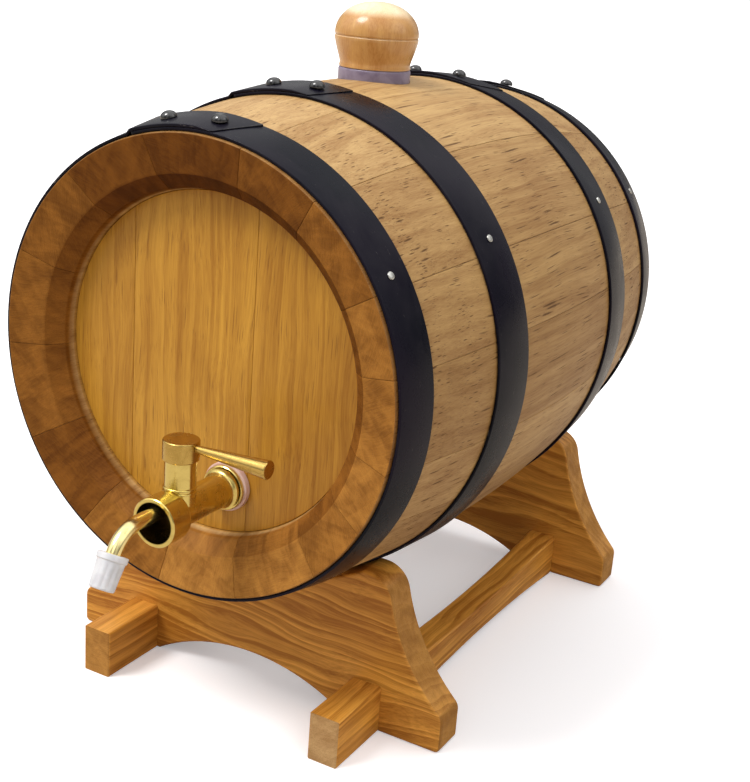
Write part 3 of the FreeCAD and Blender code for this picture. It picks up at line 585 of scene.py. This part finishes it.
stave_oak = wood("stave_oak", Timber(
    light=srgb(190, 154, 100), dark=srgb(142, 102, 58), pore=srgb(76, 46, 22),
    end_light=srgb(146, 94, 36), end_dark=srgb(94, 54, 16), end_axis=(0, 1, 0),
    ring=5.5, ring_depth=0.16, wave=4, streaks=1.05, relief=1.4, saw=1.2))
head_oak = wood("head_oak", Timber(
    light=srgb(194, 142, 50), dark=srgb(152, 100, 26), pore=srgb(104, 60, 14),
    end_light=srgb(140, 87, 34), end_dark=srgb(84, 46, 15), end_axis=(0, 0, 1),
    ring=6.5, ring_depth=0.32, wave=6, pores=0.65, long_pores=0, streaks=1.1, bands=0.85,
    roughness=0.42, relief=0.8, coat=0.1))
front_cradle_wood = wood("front_cradle_wood", Timber(
    **STAND, **TAN_ENDS, **ALONG_X, shift=(20, 0, 0), ring=4.6, ring_depth=0.52, wave=12, pith=(40, 66)))
rear_cradle_wood = wood("rear_cradle_wood", Timber(
    **STAND, **TAN_ENDS, **ALONG_X, shift=(140, 30, 50), ring=5.2, ring_depth=0.5, wave=10, pith=(10, -40)))
left_rail_wood = wood("left_rail_wood", Timber(
    **STAND, **TAN_ENDS, **ALONG_Y, shift=(400, 20, 30), ring=4.6, ring_depth=0.5, wave=4, pith=(50, -20)))
right_rail_wood = wood("right_rail_wood", Timber(
    **STAND, **PALE_ENDS, **ALONG_Y, shift=(90, -30, 80), ring=4.2, ring_depth=0.5, wave=5, pith=(-60, -50)))
# The knob's end grain faces up, so its pale end colours paint a highlight on the top of the knob.
knob_wood = wood("knob_wood", Timber(
    light=srgb(214, 168, 104), dark=srgb(174, 116, 54), pore=srgb(142, 88, 38),
    end_light=srgb(246, 228, 194), end_dark=srgb(228, 198, 150), end_axis=(0, 0, 1), order=(2, 0, 1),
    shift=(9, 12, 3), ring=7, ring_depth=0.2, wave=3, pith=(30, 8), pores=0.15, long_pores=0, streaks=0.9,
    roughness=0.28, relief=0.35, coat=0.6, saw=0.3))

BRASS = (srgb(224, 202, 122), srgb(170, 142, 72))
hoop_steel = steel("hoop_steel")
rivet_black = metal("rivet_black", srgb(12, 12, 15), srgb(30, 28, 30), 0.08, 0.1,
                    stain=0.3, bumps=0.006, metallic=0.0, shine=1.0)
nail_bright = metal("nail_bright", srgb(205, 205, 200), srgb(120, 116, 110), 0.3, 0.4)
screw_steel = metal("screw_steel", srgb(176, 170, 160), srgb(110, 104, 96), 0.3, 0.5, axis=2)
# The tap body's brass has painted shade in the bore of its mouth.
brass = metal("brass", *BRASS, 0.12, 0.5, stain=0.45, shaded_bore=True)
brass_upright = metal("brass_upright", srgb(200, 168, 94), srgb(146, 112, 50), 0.14, 0.5, axis=2, stain=0.45)
# A brighter copy of the tap's brass for the spout tube: painted light on a tube that reflects dark
# surroundings.
lit_brass_tube = metal("lit_brass_tube", srgb(250, 232, 166), srgb(206, 172, 96), 0.1, 0.4, axis=0, stain=0.35)
washer_silicone = rubber("washer_silicone", srgb(226, 196, 188), srgb(205, 160, 148), 0.3, 0.1, 0.3)
stopper_silicone = rubber("stopper_silicone", srgb(172, 160, 184), srgb(138, 124, 150), 0.25, 0.35)
cap_plastic = rubber("cap_plastic", srgb(240, 241, 245), srgb(222, 223, 229), 0.26, 0.3, 0.12)


# ---------------------------------------------------------------- cask

SEAM_GAP = 0.05
STAVE_ARRIS = 0.24
ARRIS_STEPS = (0, 0.03, 0.08, 0.15, 0.24, 0.8)
OUTER_SKIN = 85
CHIME_DEPTH = 10
END_EDGES = (
    # radius, distance from the end of the cask, edge rounding
    (END_RADIUS, 0, 0.55),
    (72.8, 4, 0.5),
    (67, 9.7, 0.35),
    (HOWEL_RADIUS, HEAD_DEPTH, 0),
    (HOWEL_RADIUS, CROZE_DEPTHS[0], 0),
    (CROZE_RADIUS, CROZE_DEPTHS[0], 0),
    (CROZE_RADIUS, CROZE_DEPTHS[1], 0),
    (HOWEL_RADIUS, CROZE_DEPTHS[1], 0),
    (HOWEL_RADIUS, 30, 0),
)
# One value per stave; over 0 is lighter.
STAVE_TONES = (-0.3, -0.25, 0.2, 0.4, 0.1, -0.45, -0.1, 0.25, -0.4, 0.05, 0.3, -0.1, -0.7, -0.15, -0.65)
# Chime values paint light and shade as well as each stave's own tone: darker on top, lighter at the bottom
# and on the right.
CHIME_LIGHT_AND_TONES = (1.2, 0.4, -0.4, -1.0, -0.7, 0.3, 0.4, 0.2, -0.6, 0.7, 1.9, 1.7, 1.1, 1.5, 1.3)
RIM_FINISH = 0.7
RIM_FROM = 127.5
CHIME_FROM = 95
BEVEL_EDGE = 72.5
# Angle round the cask where the painted shade on the chime bevels is deepest.
BEVEL_SHADE_SIDE = 50
HOWEL_EDGE = 66.8
HOWEL_FINISH = -0.5
HOLLOW_HALF = 99
HOLLOW_DEPTH = 12
BUNG_HOLE_RADIUS = 12
SEAT_RADIUS = 15.5


def eased(corners, support=0.5):
    """Open outline whose middle corners are rounded, with a point set back on each flank to keep it flat."""
    points = [corners[0][:2]]
    for before, here, after in zip(corners, corners[1:], corners[2:]):
        middle = Vector(here[:2])
        back, ahead = Vector(before[:2]) - middle, Vector(after[:2]) - middle
        size = here[2] if len(here) > 2 else 0
        if size <= 0:
            points.append(here[:2])
            continue
        back.normalize()
        ahead.normalize()
        points.append(tuple(middle + back * (size + support)))
        for t in spread(0.0, 1.0, 5):
            points.append(tuple(middle + back * size * (1 - t) ** 2 + ahead * size * t ** 2))
        points.append(tuple(middle + ahead * (size + support)))
    points.append(corners[-1][:2])
    return points


def hollow_radius(along):
    """Inside radius of the cask between the two howels."""
    return HOWEL_RADIUS + HOLLOW_DEPTH * math.cos(along / HOLLOW_HALF * math.pi / 2) ** 0.9


def stave_section():
    """Closed lengthwise section as (radius, along)."""
    outer = [(bilge(along), along) for along in spread(HALF_LENGTH - 1.2, 1.2 - HALF_LENGTH, 73)]
    edges = [(radius, depth - HALF_LENGTH, size) for radius, depth, size in END_EDGES]
    beyond = (HOWEL_RADIUS + 2, -90)
    near = eased([outer[-1]] + edges + [beyond])[1:-1]
    hollow = [(hollow_radius(along), along) for along in spread(0.4 - HOLLOW_HALF, HOLLOW_HALF - 0.4, 33)]
    far = [(radius, -along) for radius, along in reversed(near)]
    return outer + near + hollow + far


def inward_sides(points):
    """Unit directions (radius, along) into the wood at the points of a closed section."""
    sides = []
    for i in range(len(points)):
        r0, a0 = points[i - 1]
        r1, a1 = points[(i + 1) % len(points)]
        length = math.hypot(r1 - r0, a1 - a0) or 1
        sides.append(((a1 - a0) / length, -(r1 - r0) / length))
    return sides


def arris_drop(depth):
    """How far the skin sinks at a distance from the seam: a quarter round."""
    if depth >= STAVE_ARRIS:
        return 0
    return STAVE_ARRIS - math.sqrt(max(0, STAVE_ARRIS ** 2 - (STAVE_ARRIS - depth) ** 2))


def stave(left, right, hollowness):
    """One stave between two seams (degrees), a little flatter than the round it is part of."""
    points = stave_section()
    inward = inward_sides(points)
    first = left + math.degrees(SEAM_GAP / BILGE_RADIUS)
    final = right - math.degrees(SEAM_GAP / BILGE_RADIUS)
    near = [first + math.degrees(step / BILGE_RADIUS) for step in ARRIS_STEPS]
    far = [final - math.degrees(step / BILGE_RADIUS) for step in reversed(ARRIS_STEPS)]
    inner = spread(near[-1], far[0], max(4, round((right - left) / 1.6)))[1:-1]
    rings = []
    for angle in near + inner + far:
        edge = min(angle - first, final - angle)
        drop = arris_drop(max(0, math.radians(edge) * BILGE_RADIUS))
        middle = (angle - (left + right) / 2) / ((right - left) / 2)
        ring = []
        for (radius, along), (side_radius, side_along) in zip(points, inward):
            outside = radius > OUTER_SKIN
            in_view = outside or abs(along) > HALF_LENGTH - CHIME_DEPTH
            sink = (drop + hollowness * middle ** 2 * outside) * in_view
            ring.append(on_cask(angle, along + side_along * sink, radius + side_radius * sink))
        rings.append(ring)
    return skin(rings)


def stave_grain(middle, offset, cant):
    """Wood coordinates of a stave: along the cask, round it and outwards, with its rings canted."""
    c, s = math.cos(cant), math.sin(cant)

    def rule(places):
        x, y, z = places[:, 0], places[:, 1] - CASK_Y * MM, places[:, 2] - CASK_Z * MM
        turn = np.arctan2(z, x) - math.radians(middle)
        turn = (turn + math.pi) % (2 * math.pi) - math.pi
        round_it = turn * BILGE_RADIUS * MM
        out = np.hypot(x, z) - END_RADIUS * MM
        across = round_it * c - out * s + offset[1]
        through = round_it * s + out * c + offset[2]
        return np.stack([y + offset[0], across, through], axis=1)
    return rule


def end_finish_and_shade(places):
    """0 on the outside of the staves, 1 on the chimes, more on the bevels (painted shade, deepest towards the
    upper right) and under 0 on the bare howels.
    """
    along = np.abs(places[:, 1] - CASK_Y * MM)
    up = places[:, 2] - CASK_Z * MM
    radius = np.hypot(places[:, 0], up)
    chime = (radius < (bilge(along / MM) - 0.2) * MM) & (along > CHIME_FROM * MM)
    rim = (along > RIM_FROM * MM) & ~chime
    turn = np.arctan2(up, places[:, 0])
    # Painted shade on the chime bevels, deepest on the side towards the upper right.
    bevel = 1.05 + 0.55 * (1 + np.cos(turn - math.radians(BEVEL_SHADE_SIDE)))
    finish = np.where(radius < BEVEL_EDGE * MM, bevel, 1.0)
    finish = np.where(radius < HOWEL_EDGE * MM, HOWEL_FINISH, finish)
    return chime * finish + rim * RIM_FINISH


def make_staves():
    """Fifteen staves; the one on top has the bung hole and the stopper's flat seat."""
    seam = FIRST_SEAM
    for number, width in enumerate(STAVE_WIDTHS, start=1):
        label = "stave_bung" if number == BUNG_STAVE else f"stave_{number:02d}"
        piece = loose_object(f"oak_{label}", stave(seam, seam + width, RNG.uniform(0.02, 0.1)), crease=32)
        if number == BUNG_STAVE:
            here = Matrix.Translation((BUNG_X, CASK_Y, CASK_Z))
            hole = loose_object("hole", moved(rod(BUNG_HOLE_RADIUS, 60, 110), here))
            seat = loose_object("seat", moved(rod(SEAT_RADIUS, SEAT_HEIGHT, 112), here))
            carve(piece, [hole, seat], crease=32)
        offset = [RNG.uniform(-reach, reach) for reach in (2, 2, 0.02)]
        grain = stave_grain(seam + width / 2, offset, RNG.uniform(-1.2, 1.2))
        add_grain(piece, grain, STAVE_TONES[number - 1], end_finish_and_shade, CHIME_LIGHT_AND_TONES[number - 1])
        finish_piece(piece, "cask", label, stave_oak)
        seam += width


# ---------------------------------------------------------------- heads

HEAD_RADIUS = 65.85
TONGUE_RADIUS = 68.85
JOINT_GAP = 0.03
PAST_HEAD = 80
TAP_HOLE_RADIUS = 5
HEAD_SECTION = (
    # depth behind the face, radius, extra gap at the joints
    (0, HEAD_RADIUS - 0.45, 0.28),
    (0.08, HEAD_RADIUS - 0.15, 0.1),
    (0.35, HEAD_RADIUS, 0),
    (2.5, HEAD_RADIUS, 0),
    (2.5, TONGUE_RADIUS, 0),
    (7.5, TONGUE_RADIUS, 0),
    (7.5, HEAD_RADIUS, 0),
    (10, HEAD_RADIUS, 0),
)


def board_outline(radius, left, right, count=40):
    """Outline of the part of a disc between two upright lines."""
    start = math.acos(max(-1, left / radius))
    stop = math.acos(min(1, right / radius))
    top = [(radius * math.cos(a), radius * math.sin(a)) for a in spread(start, stop, count)]
    low = [(x, -z) for x, z in reversed(top)]
    if right >= radius:
        low = low[1:]
    if left <= -radius:
        low = low[:-1]
    return top + low


def board_grain(offset):
    """Wood coordinates of a head board: upwards, across it and through it."""
    def rule(places):
        return np.stack([places[:, axis] + start for axis, start in zip((2, 0, 1), offset)], axis=1)
    return rule


def make_head(side, sign, joints, tones):
    """Three edge-jointed boards at one end; sign is -1 at the front, where one has the tap's hole."""
    edges = (-PAST_HEAD,) + joints + (PAST_HEAD,)
    for number, (left, right) in enumerate(zip(edges, edges[1:]), start=1):
        rings = []
        for depth, radius, gap in HEAD_SECTION:
            along = sign * (HALF_LENGTH - HEAD_DEPTH - depth)
            low = left + JOINT_GAP + gap if left > -PAST_HEAD else -radius
            high = right - JOINT_GAP - gap if right < PAST_HEAD else radius
            outline = board_outline(radius, low, high)
            rings.append([(x, CASK_Y + along, CASK_Z + z) for x, z in outline])
        node = f"{side}_head_board_{number}"
        piece = loose_object(f"oak_{node}", skin(rings))
        if sign < 0 and left < TAP_X < right:
            turn = Matrix.Translation((TAP_X, CASK_Y, TAP_Z)) @ Matrix.Rotation(math.radians(90), 4, "X")
            carve(piece, [loose_object("hole", moved(rod(TAP_HOLE_RADIUS, 90, 130), turn))])
        offset = [RNG.uniform(-reach, reach) for reach in (2, 0.5, 0.02)]
        add_grain(piece, board_grain(offset), tones[number - 1])
        finish_piece(piece, "cask", node, head_oak)


# ---------------------------------------------------------------- hoops, rivets and nails

# Angles on a strip, in degrees: where it ends on each hoop (near and far edge), how far past the last rivet
# its hidden start lies, where and how long it climbs, where its thin end begins and how much its corners lag.
LAP_ENDS = ((85, 79), (85, 81), (77, 73), (79, 74))
STRIP_TAIL = 7
RAMP_START = 0.3
RAMP_TURN = 1.6
END_TURN = -270
END_CORNER = 1.08

STRIP_ROUNDING = 0.38
LAP_GAP = 0.04
WAVINESS = 0.03
END_THINNING = 0.65
END_STEPS = 12


def strip_angles(start, ramp_end):
    """Angles of a strip that goes clockwise from start once round, finer where it climbs on its own start."""
    flat_end = ramp_end - 359.5
    ramp_foot = ramp_end - RAMP_TURN - 360.5
    once_round = spread(start, flat_end, 231)
    climbing = spread(flat_end, ramp_foot, 19)[1:]
    on_top = spread(ramp_foot, END_TURN, 13)[1:]
    return once_round + climbing + on_top


def strip(number, near, far):
    """Hoop as one strip: it starts under its own lap, goes once round, climbs and ends thin on top."""
    middle = (near + far) / 2
    half = (far - near) / 2
    slope = (bilge(far) - bilge(near)) / (far - near)
    base = (bilge(far) + bilge(near)) / 2 + HOOP_CLEARANCE
    corners = [(-half, 0), (half, 0), (half, HOOP_THICKNESS), (-half, HOOP_THICKNESS)]
    section = rounded(corners, STRIP_ROUNDING)
    end_near, end_far = LAP_ENDS[number - 1]
    start = max(RIVET_ANGLES[number - 1]) + STRIP_TAIL
    ramp_end = start + RAMP_START + RAMP_TURN
    angles = strip_angles(start, ramp_end)
    stretches = [(angle, 0) for angle in angles]
    stretches += [(END_TURN, (k + 1) / END_STEPS) for k in range(END_STEPS)]
    rings = []
    for angle, last in stretches:
        t = min(1, max(0, (ramp_end - 360 - angle) / RAMP_TURN))
        lift = t * t * (3 - 2 * t) * (HOOP_THICKNESS + LAP_GAP)
        wobble = WAVINESS * (math.sin(math.radians(angle * 5 + number * 50)) + 1)
        ring = []
        for across, height in section:
            share = (across + half) / (2 * half)
            height *= 1 - END_THINNING * last
            corner = END_CORNER * max(0, abs(2 * share - 1) - 0.86) / 0.14
            finish = end_near + (end_far - end_near) * share - 360 + corner
            turn = angle + (finish - angle) * last
            along = middle + across - (height + lift) * slope
            ring.append(on_cask(turn, along, base + across * slope + height + lift + wobble))
        rings.append(ring)
    return skin(rings)


def make_hoops():
    """Four riveted steel hoops."""
    for number, (near, far) in enumerate(HOOP_SPANS, start=1):
        piece = loose_object(f"hoop_band_{number}", strip(number, near, far), crease=40)
        finish_piece(piece, "cask", f"hoop_{number}", hoop_steel)


def square_on(angle, along, height):
    """Matrix that sets a fastener made along Z square on the cask, at a height over its wood."""
    turn = math.radians(angle)
    lean = math.asin(along / ARC_RADIUS)
    out = Vector((math.cos(turn) * math.cos(lean), math.sin(lean), math.sin(turn) * math.cos(lean)))
    spot = Vector(on_cask(angle, along, bilge(along))) + out * height
    return Matrix.Translation(spot) @ out.to_track_quat("Z", "Y").to_matrix().to_4x4()


# Profiles of fasteners as (radius, height above the steel).
RIVET_HEAD = [(0, -1.2), (1.2, -1.2), (1.2, 0.0), (2.95, 0.0), (3.1, 0.18), (3.1, 0.45)]
RIVET_HEAD += arc((0, 0.45), 3.06, 6, 84, 14, 0.73) + [(0, 2.7)]
NAIL_HEAD = [(0, -3), (0.65, -3), (0.65, 0), (1.4, 0), (1.5, 0.12), (1.42, 0.38), (1.1, 0.58), (0.6, 0.68),
             (0, 0.7)]


def make_fasteners():
    """Two dome rivets on the lap of each hoop and one small nail through each hoop."""
    over_nail = HOOP_CLEARANCE + HOOP_THICKNESS
    over_lap = HOOP_CLEARANCE + 2 * HOOP_THICKNESS + 0.02
    rivets, nails = [], []
    for pair, (near, far) in zip(RIVET_ANGLES, HOOP_SPANS):
        along = (near + far) / 2
        for angle in pair:
            rivets.append(moved(lathe(RIVET_HEAD, 40), square_on(angle, along, over_lap)))
        nails.append(moved(lathe(NAIL_HEAD, 28), square_on(NAIL_ANGLE, along, over_nail)))
    piece = loose_object("rivet_heads", merged(rivets))
    finish_piece(piece, "cask", "hoop_rivets", rivet_black)
    piece = loose_object("nail_heads", merged(nails))
    finish_piece(piece, "cask", "hoop_nails", nail_bright)


# ---------------------------------------------------------------- bung

# Heights above the cask's axis.
COLLAR_FOOT = SEAT_HEIGHT + 0.06
COLLAR_TOP = 104.2
BALL_HEIGHT = 118
BALL_RADIUS = 17.7
BALL_RISE = 13.2
STOPPER = (
    # radius, height, edge rounding
    (0, 78.8, 0),
    (10.7, 78.8, 1),
    (11.9, COLLAR_FOOT, 0.2),
    (15.3, COLLAR_FOOT, 0.35),
    (15.3, COLLAR_TOP, 0.9),
    (4.06, COLLAR_TOP, 0.3),
    (4.06, 92.2, 0),
    (0, 92.2, 0),
)
KNOB_FOOT = [(0, 93.3), (4, 93.3), (4, 104.26), (14.7, 104.26), (15.1, 104.45), (15.15, 104.9)]
KNOB_FLARE = [(14.95, 105.7), (15.0, 106.6), (15.3, 107.8), (15.75, 109.2), (16.25, 110.7), (16.7, 112.2),
              (17.1, 113.7), (17.5, 115.3), (17.72, 116.4), (17.7, 116.8)]
KNOB_GROOVE = [(17.35, 117.0), (17.3, 117.25), (17.6, 117.5), (17.72, 117.9)]


def make_bung():
    """Soft stopper with a collar and its turned wooden knob."""
    here = Matrix.Translation((BUNG_X, CASK_Y, CASK_Z))
    piece = loose_object("soft_stopper", moved(lathe(rounded(STOPPER, 0), 128), here))
    finish_piece(piece, "bung", "bung_stopper", stopper_silicone)
    dome = []
    for angle in spread(0.03, math.pi / 2 - 0.02, 30):
        dome.append((BALL_RADIUS * math.cos(angle) ** 0.92, BALL_HEIGHT + BALL_RISE * math.sin(angle)))
    knob = KNOB_FOOT + KNOB_FLARE + KNOB_GROOVE + dome + [(0, BALL_HEIGHT + BALL_RISE)]
    piece = loose_object("turned_knob", moved(lathe(knob, 160), here), crease=50)
    finish_piece(piece, "bung", "bung_knob", knob_wood)


# ---------------------------------------------------------------- spout's cap

SPOUT_TIP = (TAP_X, MOUTH_Y - 21.184, TAP_Z - 3.5)
SPOUT_SLANT = -30
FLUTES = 12
FLUTE_DEPTH = 0.055
FLUTES_TOP = -3.4
FLUTES_FOOT = -12.6
CAP_BORE = 2.86
SPOUT_CAP = (
    # radius, height along the tip, edge rounding
    (CAP_BORE, -0.4, 0),
    (5.6, -0.4, 0.4),
    (5.6, -2.5, 0.4),
    (5.15, -2.9, 0.25),
    (5.1, FLUTES_TOP, 0),
    (5.05, -4.4, 0),
    (4.9, -7, 0),
    (4.72, -10.5, 0),
    (4.65, -11.6, 0),
    (4.6, -13, 0.9),
    (0, -13, 0),
    (0, -9.1, 0),
    (CAP_BORE, -9.1, 0),
)


def make_spout_cap():
    """Soft cap with a lip and shallow flutes, pushed on the slanting tip of the spout."""
    here = Matrix.Translation(SPOUT_TIP) @ Matrix.Rotation(math.radians(SPOUT_SLANT), 4, "X")
    profile = rounded(SPOUT_CAP, 0)
    turns = 144
    rings = []
    for k in range(turns):
        angle = math.tau * k / turns
        valley = (0.5 + 0.5 * math.cos(FLUTES * angle)) ** 1.5
        ring = []
        for r, h in profile:
            fluted = min(1, max(0, FLUTES_TOP - h)) * min(1, max(0, h - FLUTES_FOOT)) if r > 4 else 0
            wide = r * (1 - FLUTE_DEPTH * fluted * valley)
            ring.append((wide * math.cos(angle), wide * math.sin(angle), h))
        rings.append(ring)
    piece = loose_object("soft_cap", moved(skin(rings, looped=True), here), crease=40)
    finish_piece(piece, "tip_cap", "spout_cap", cap_plastic)


# ---------------------------------------------------------------- pieces kept from the CAD part

KEPT = {
    "front_cradle": front_cradle_wood,
    "rear_cradle": rear_cradle_wood,
    "left_stretcher": left_rail_wood,
    "right_stretcher": right_rail_wood,
    "lap_screws": screw_steel,
    "tap_body": brass,
    "tap_nut": brass,
    "tap_gland": brass_upright,
    "tap_plug": brass_upright,
    "tap_cap": brass_upright,
    "tap_lever": brass_upright,
    "tap_spout": lit_brass_tube,
    "tap_washer": washer_silicone,
    "tap_gasket": washer_silicone,
    "tap_seal": washer_silicone,
}


def dress_kept_nodes():
    """Gives the CAD nodes that stay in view their materials."""
    for name, material in KEPT.items():
        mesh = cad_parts[name].data
        mesh.materials.clear()
        mesh.materials.append(material)


# ---------------------------------------------------------------- studio

CAMERA_AZIMUTH = 28.347
CAMERA_ELEVATION = 18.597
CAMERA_ROLL = 4.41
CAMERA_DISTANCE = 0.60939
CAMERA_TARGET = Vector((0.00936, 0.0171, 0.11646))
CAMERA_LENS = 62.06
CAMERA_REACH = (0.01, 50)
SENSOR_WIDTH = 36
FLOOR_HALF = 12000
WINDOWS = (
    # azimuth, elevation, cosine where it fades in and where it is full, brightness
    (-62, 26, 0.90, 0.95, 0.8),
    (16, 36, 0.97, 0.985, 0.6),
    (98, 30, 0.92, 0.97, 0.9),
)


def direction(azimuth, elevation):
    """Unit vector from the cask towards a viewer; azimuth 0 is the front, 90 the right side."""
    a, e = math.radians(azimuth), math.radians(elevation)
    return Vector((math.sin(a) * math.cos(e), -math.cos(a) * math.cos(e), math.sin(e)))


def make_camera():
    """Camera that looks at the target, rolled a little."""
    back = direction(CAMERA_AZIMUTH, CAMERA_ELEVATION)
    right = (-back).cross(Vector((0, 0, 1))).normalized()
    up = right.cross(-back)
    c, s = math.cos(math.radians(CAMERA_ROLL)), math.sin(math.radians(CAMERA_ROLL))
    axes = (c * right + s * up, c * up - s * right, back)
    data = bpy.data.cameras.new("camera")
    data.lens = CAMERA_LENS
    data.sensor_width = SENSOR_WIDTH
    data.clip_start, data.clip_end = CAMERA_REACH
    camera = bpy.data.objects.new("camera", data)
    place = Matrix.Translation(CAMERA_TARGET + back * CAMERA_DISTANCE)
    camera.matrix_world = place @ Matrix(axes).transposed().to_4x4()
    bpy.context.scene.collection.objects.link(camera)
    bpy.context.scene.camera = camera


def make_sun(azimuth, elevation, width, strength, colour):
    """Soft key light whose disc is width degrees wide."""
    data = bpy.data.lights.new("key", "SUN")
    data.angle = math.radians(width)
    data.energy = strength
    data.color = colour
    lamp = bpy.data.objects.new("key", data)
    lamp.rotation_mode = "QUATERNION"
    lamp.rotation_quaternion = direction(azimuth, elevation).to_track_quat("Z", "Y")
    bpy.context.scene.collection.objects.link(lamp)


def make_floor():
    """Wide white floor, brighter to the camera than to the light that bounces off it."""
    size = FLOOR_HALF
    corners = [(-size, -size, 0), (size, -size, 0), (size, size, 0), (-size, size, 0)]
    floor = loose_object("studio_floor", (corners, [(0, 1, 2, 3)]))
    net = Surface("studio_floor")
    cloud = net.noise(net.object_place(), (0.002, 0.002, 0.002), 2)
    seen = net.put("LightPath").outputs["Is Camera Ray"]
    white = net.blend(cloud, srgb(238, 236, 238), srgb(243, 242, 243))
    floor.data.materials.append(net.finish(
        Base_Color=net.blend(seen, srgb(192, 182, 170), white), Roughness=0.85, Specular_IOR_Level=0.1,
        Emission_Color=srgb(250, 252, 255), Emission_Strength=net.math("MULTIPLY", seen, 0.29)))


def make_world():
    """White to the camera; for light and reflections a bright ceiling, dark flags and a few windows."""
    world = bpy.data.worlds.new("studio")
    bpy.context.scene.world = world
    world.use_nodes = True
    net = Net(world.node_tree)
    place = net.put("TexCoord").outputs["Generated"]
    x, y, height = net.split(place)[:3]
    flags = net.math("SINE", net.math("MULTIPLY", net.math("ARCTAN2", x, y), 7.0))
    flags = net.span(flags, -0.35, 0.35, 0.4, 1.0)
    walls = net.math("MULTIPLY", net.span(height, -0.1, 0.4, 0.32, 0.64), flags)
    glow = net.math("ADD", walls, net.span(height, 0.3, 0.95, 0.0, 1.0))
    for azimuth, elevation, low, high, strength in WINDOWS:
        aim = net.vector("DOT_PRODUCT", place, tuple(direction(azimuth, elevation)))
        glow = net.math("ADD", glow, net.span(aim, low, high, 0.0, strength))
    seen = net.put("LightPath").outputs["Is Camera Ray"]
    light = net.vector("MULTIPLY", net.join(glow, glow, glow), (1.0, 0.992, 0.985))
    net.feed(net.tree.nodes["Background"].inputs["Color"], net.blend(seen, light, (1, 1, 1, 1)))


make_staves()
make_head("front", -1, (-36.5, 19), (-0.05, 0.12, -0.2))
make_head("rear", 1, (-21, 30), (0.1, -0.15, 0.05))
make_hoops()
make_fasteners()
make_bung()
make_spout_cap()
dress_kept_nodes()
make_camera()
make_floor()
make_world()
make_sun(azimuth=-40, elevation=55, width=22, strength=2.1, colour=(1.0, 0.985, 0.965))
bpy.context.scene.view_settings.view_transform = "Standard"
bpy.context.scene.view_settings.look = "None"
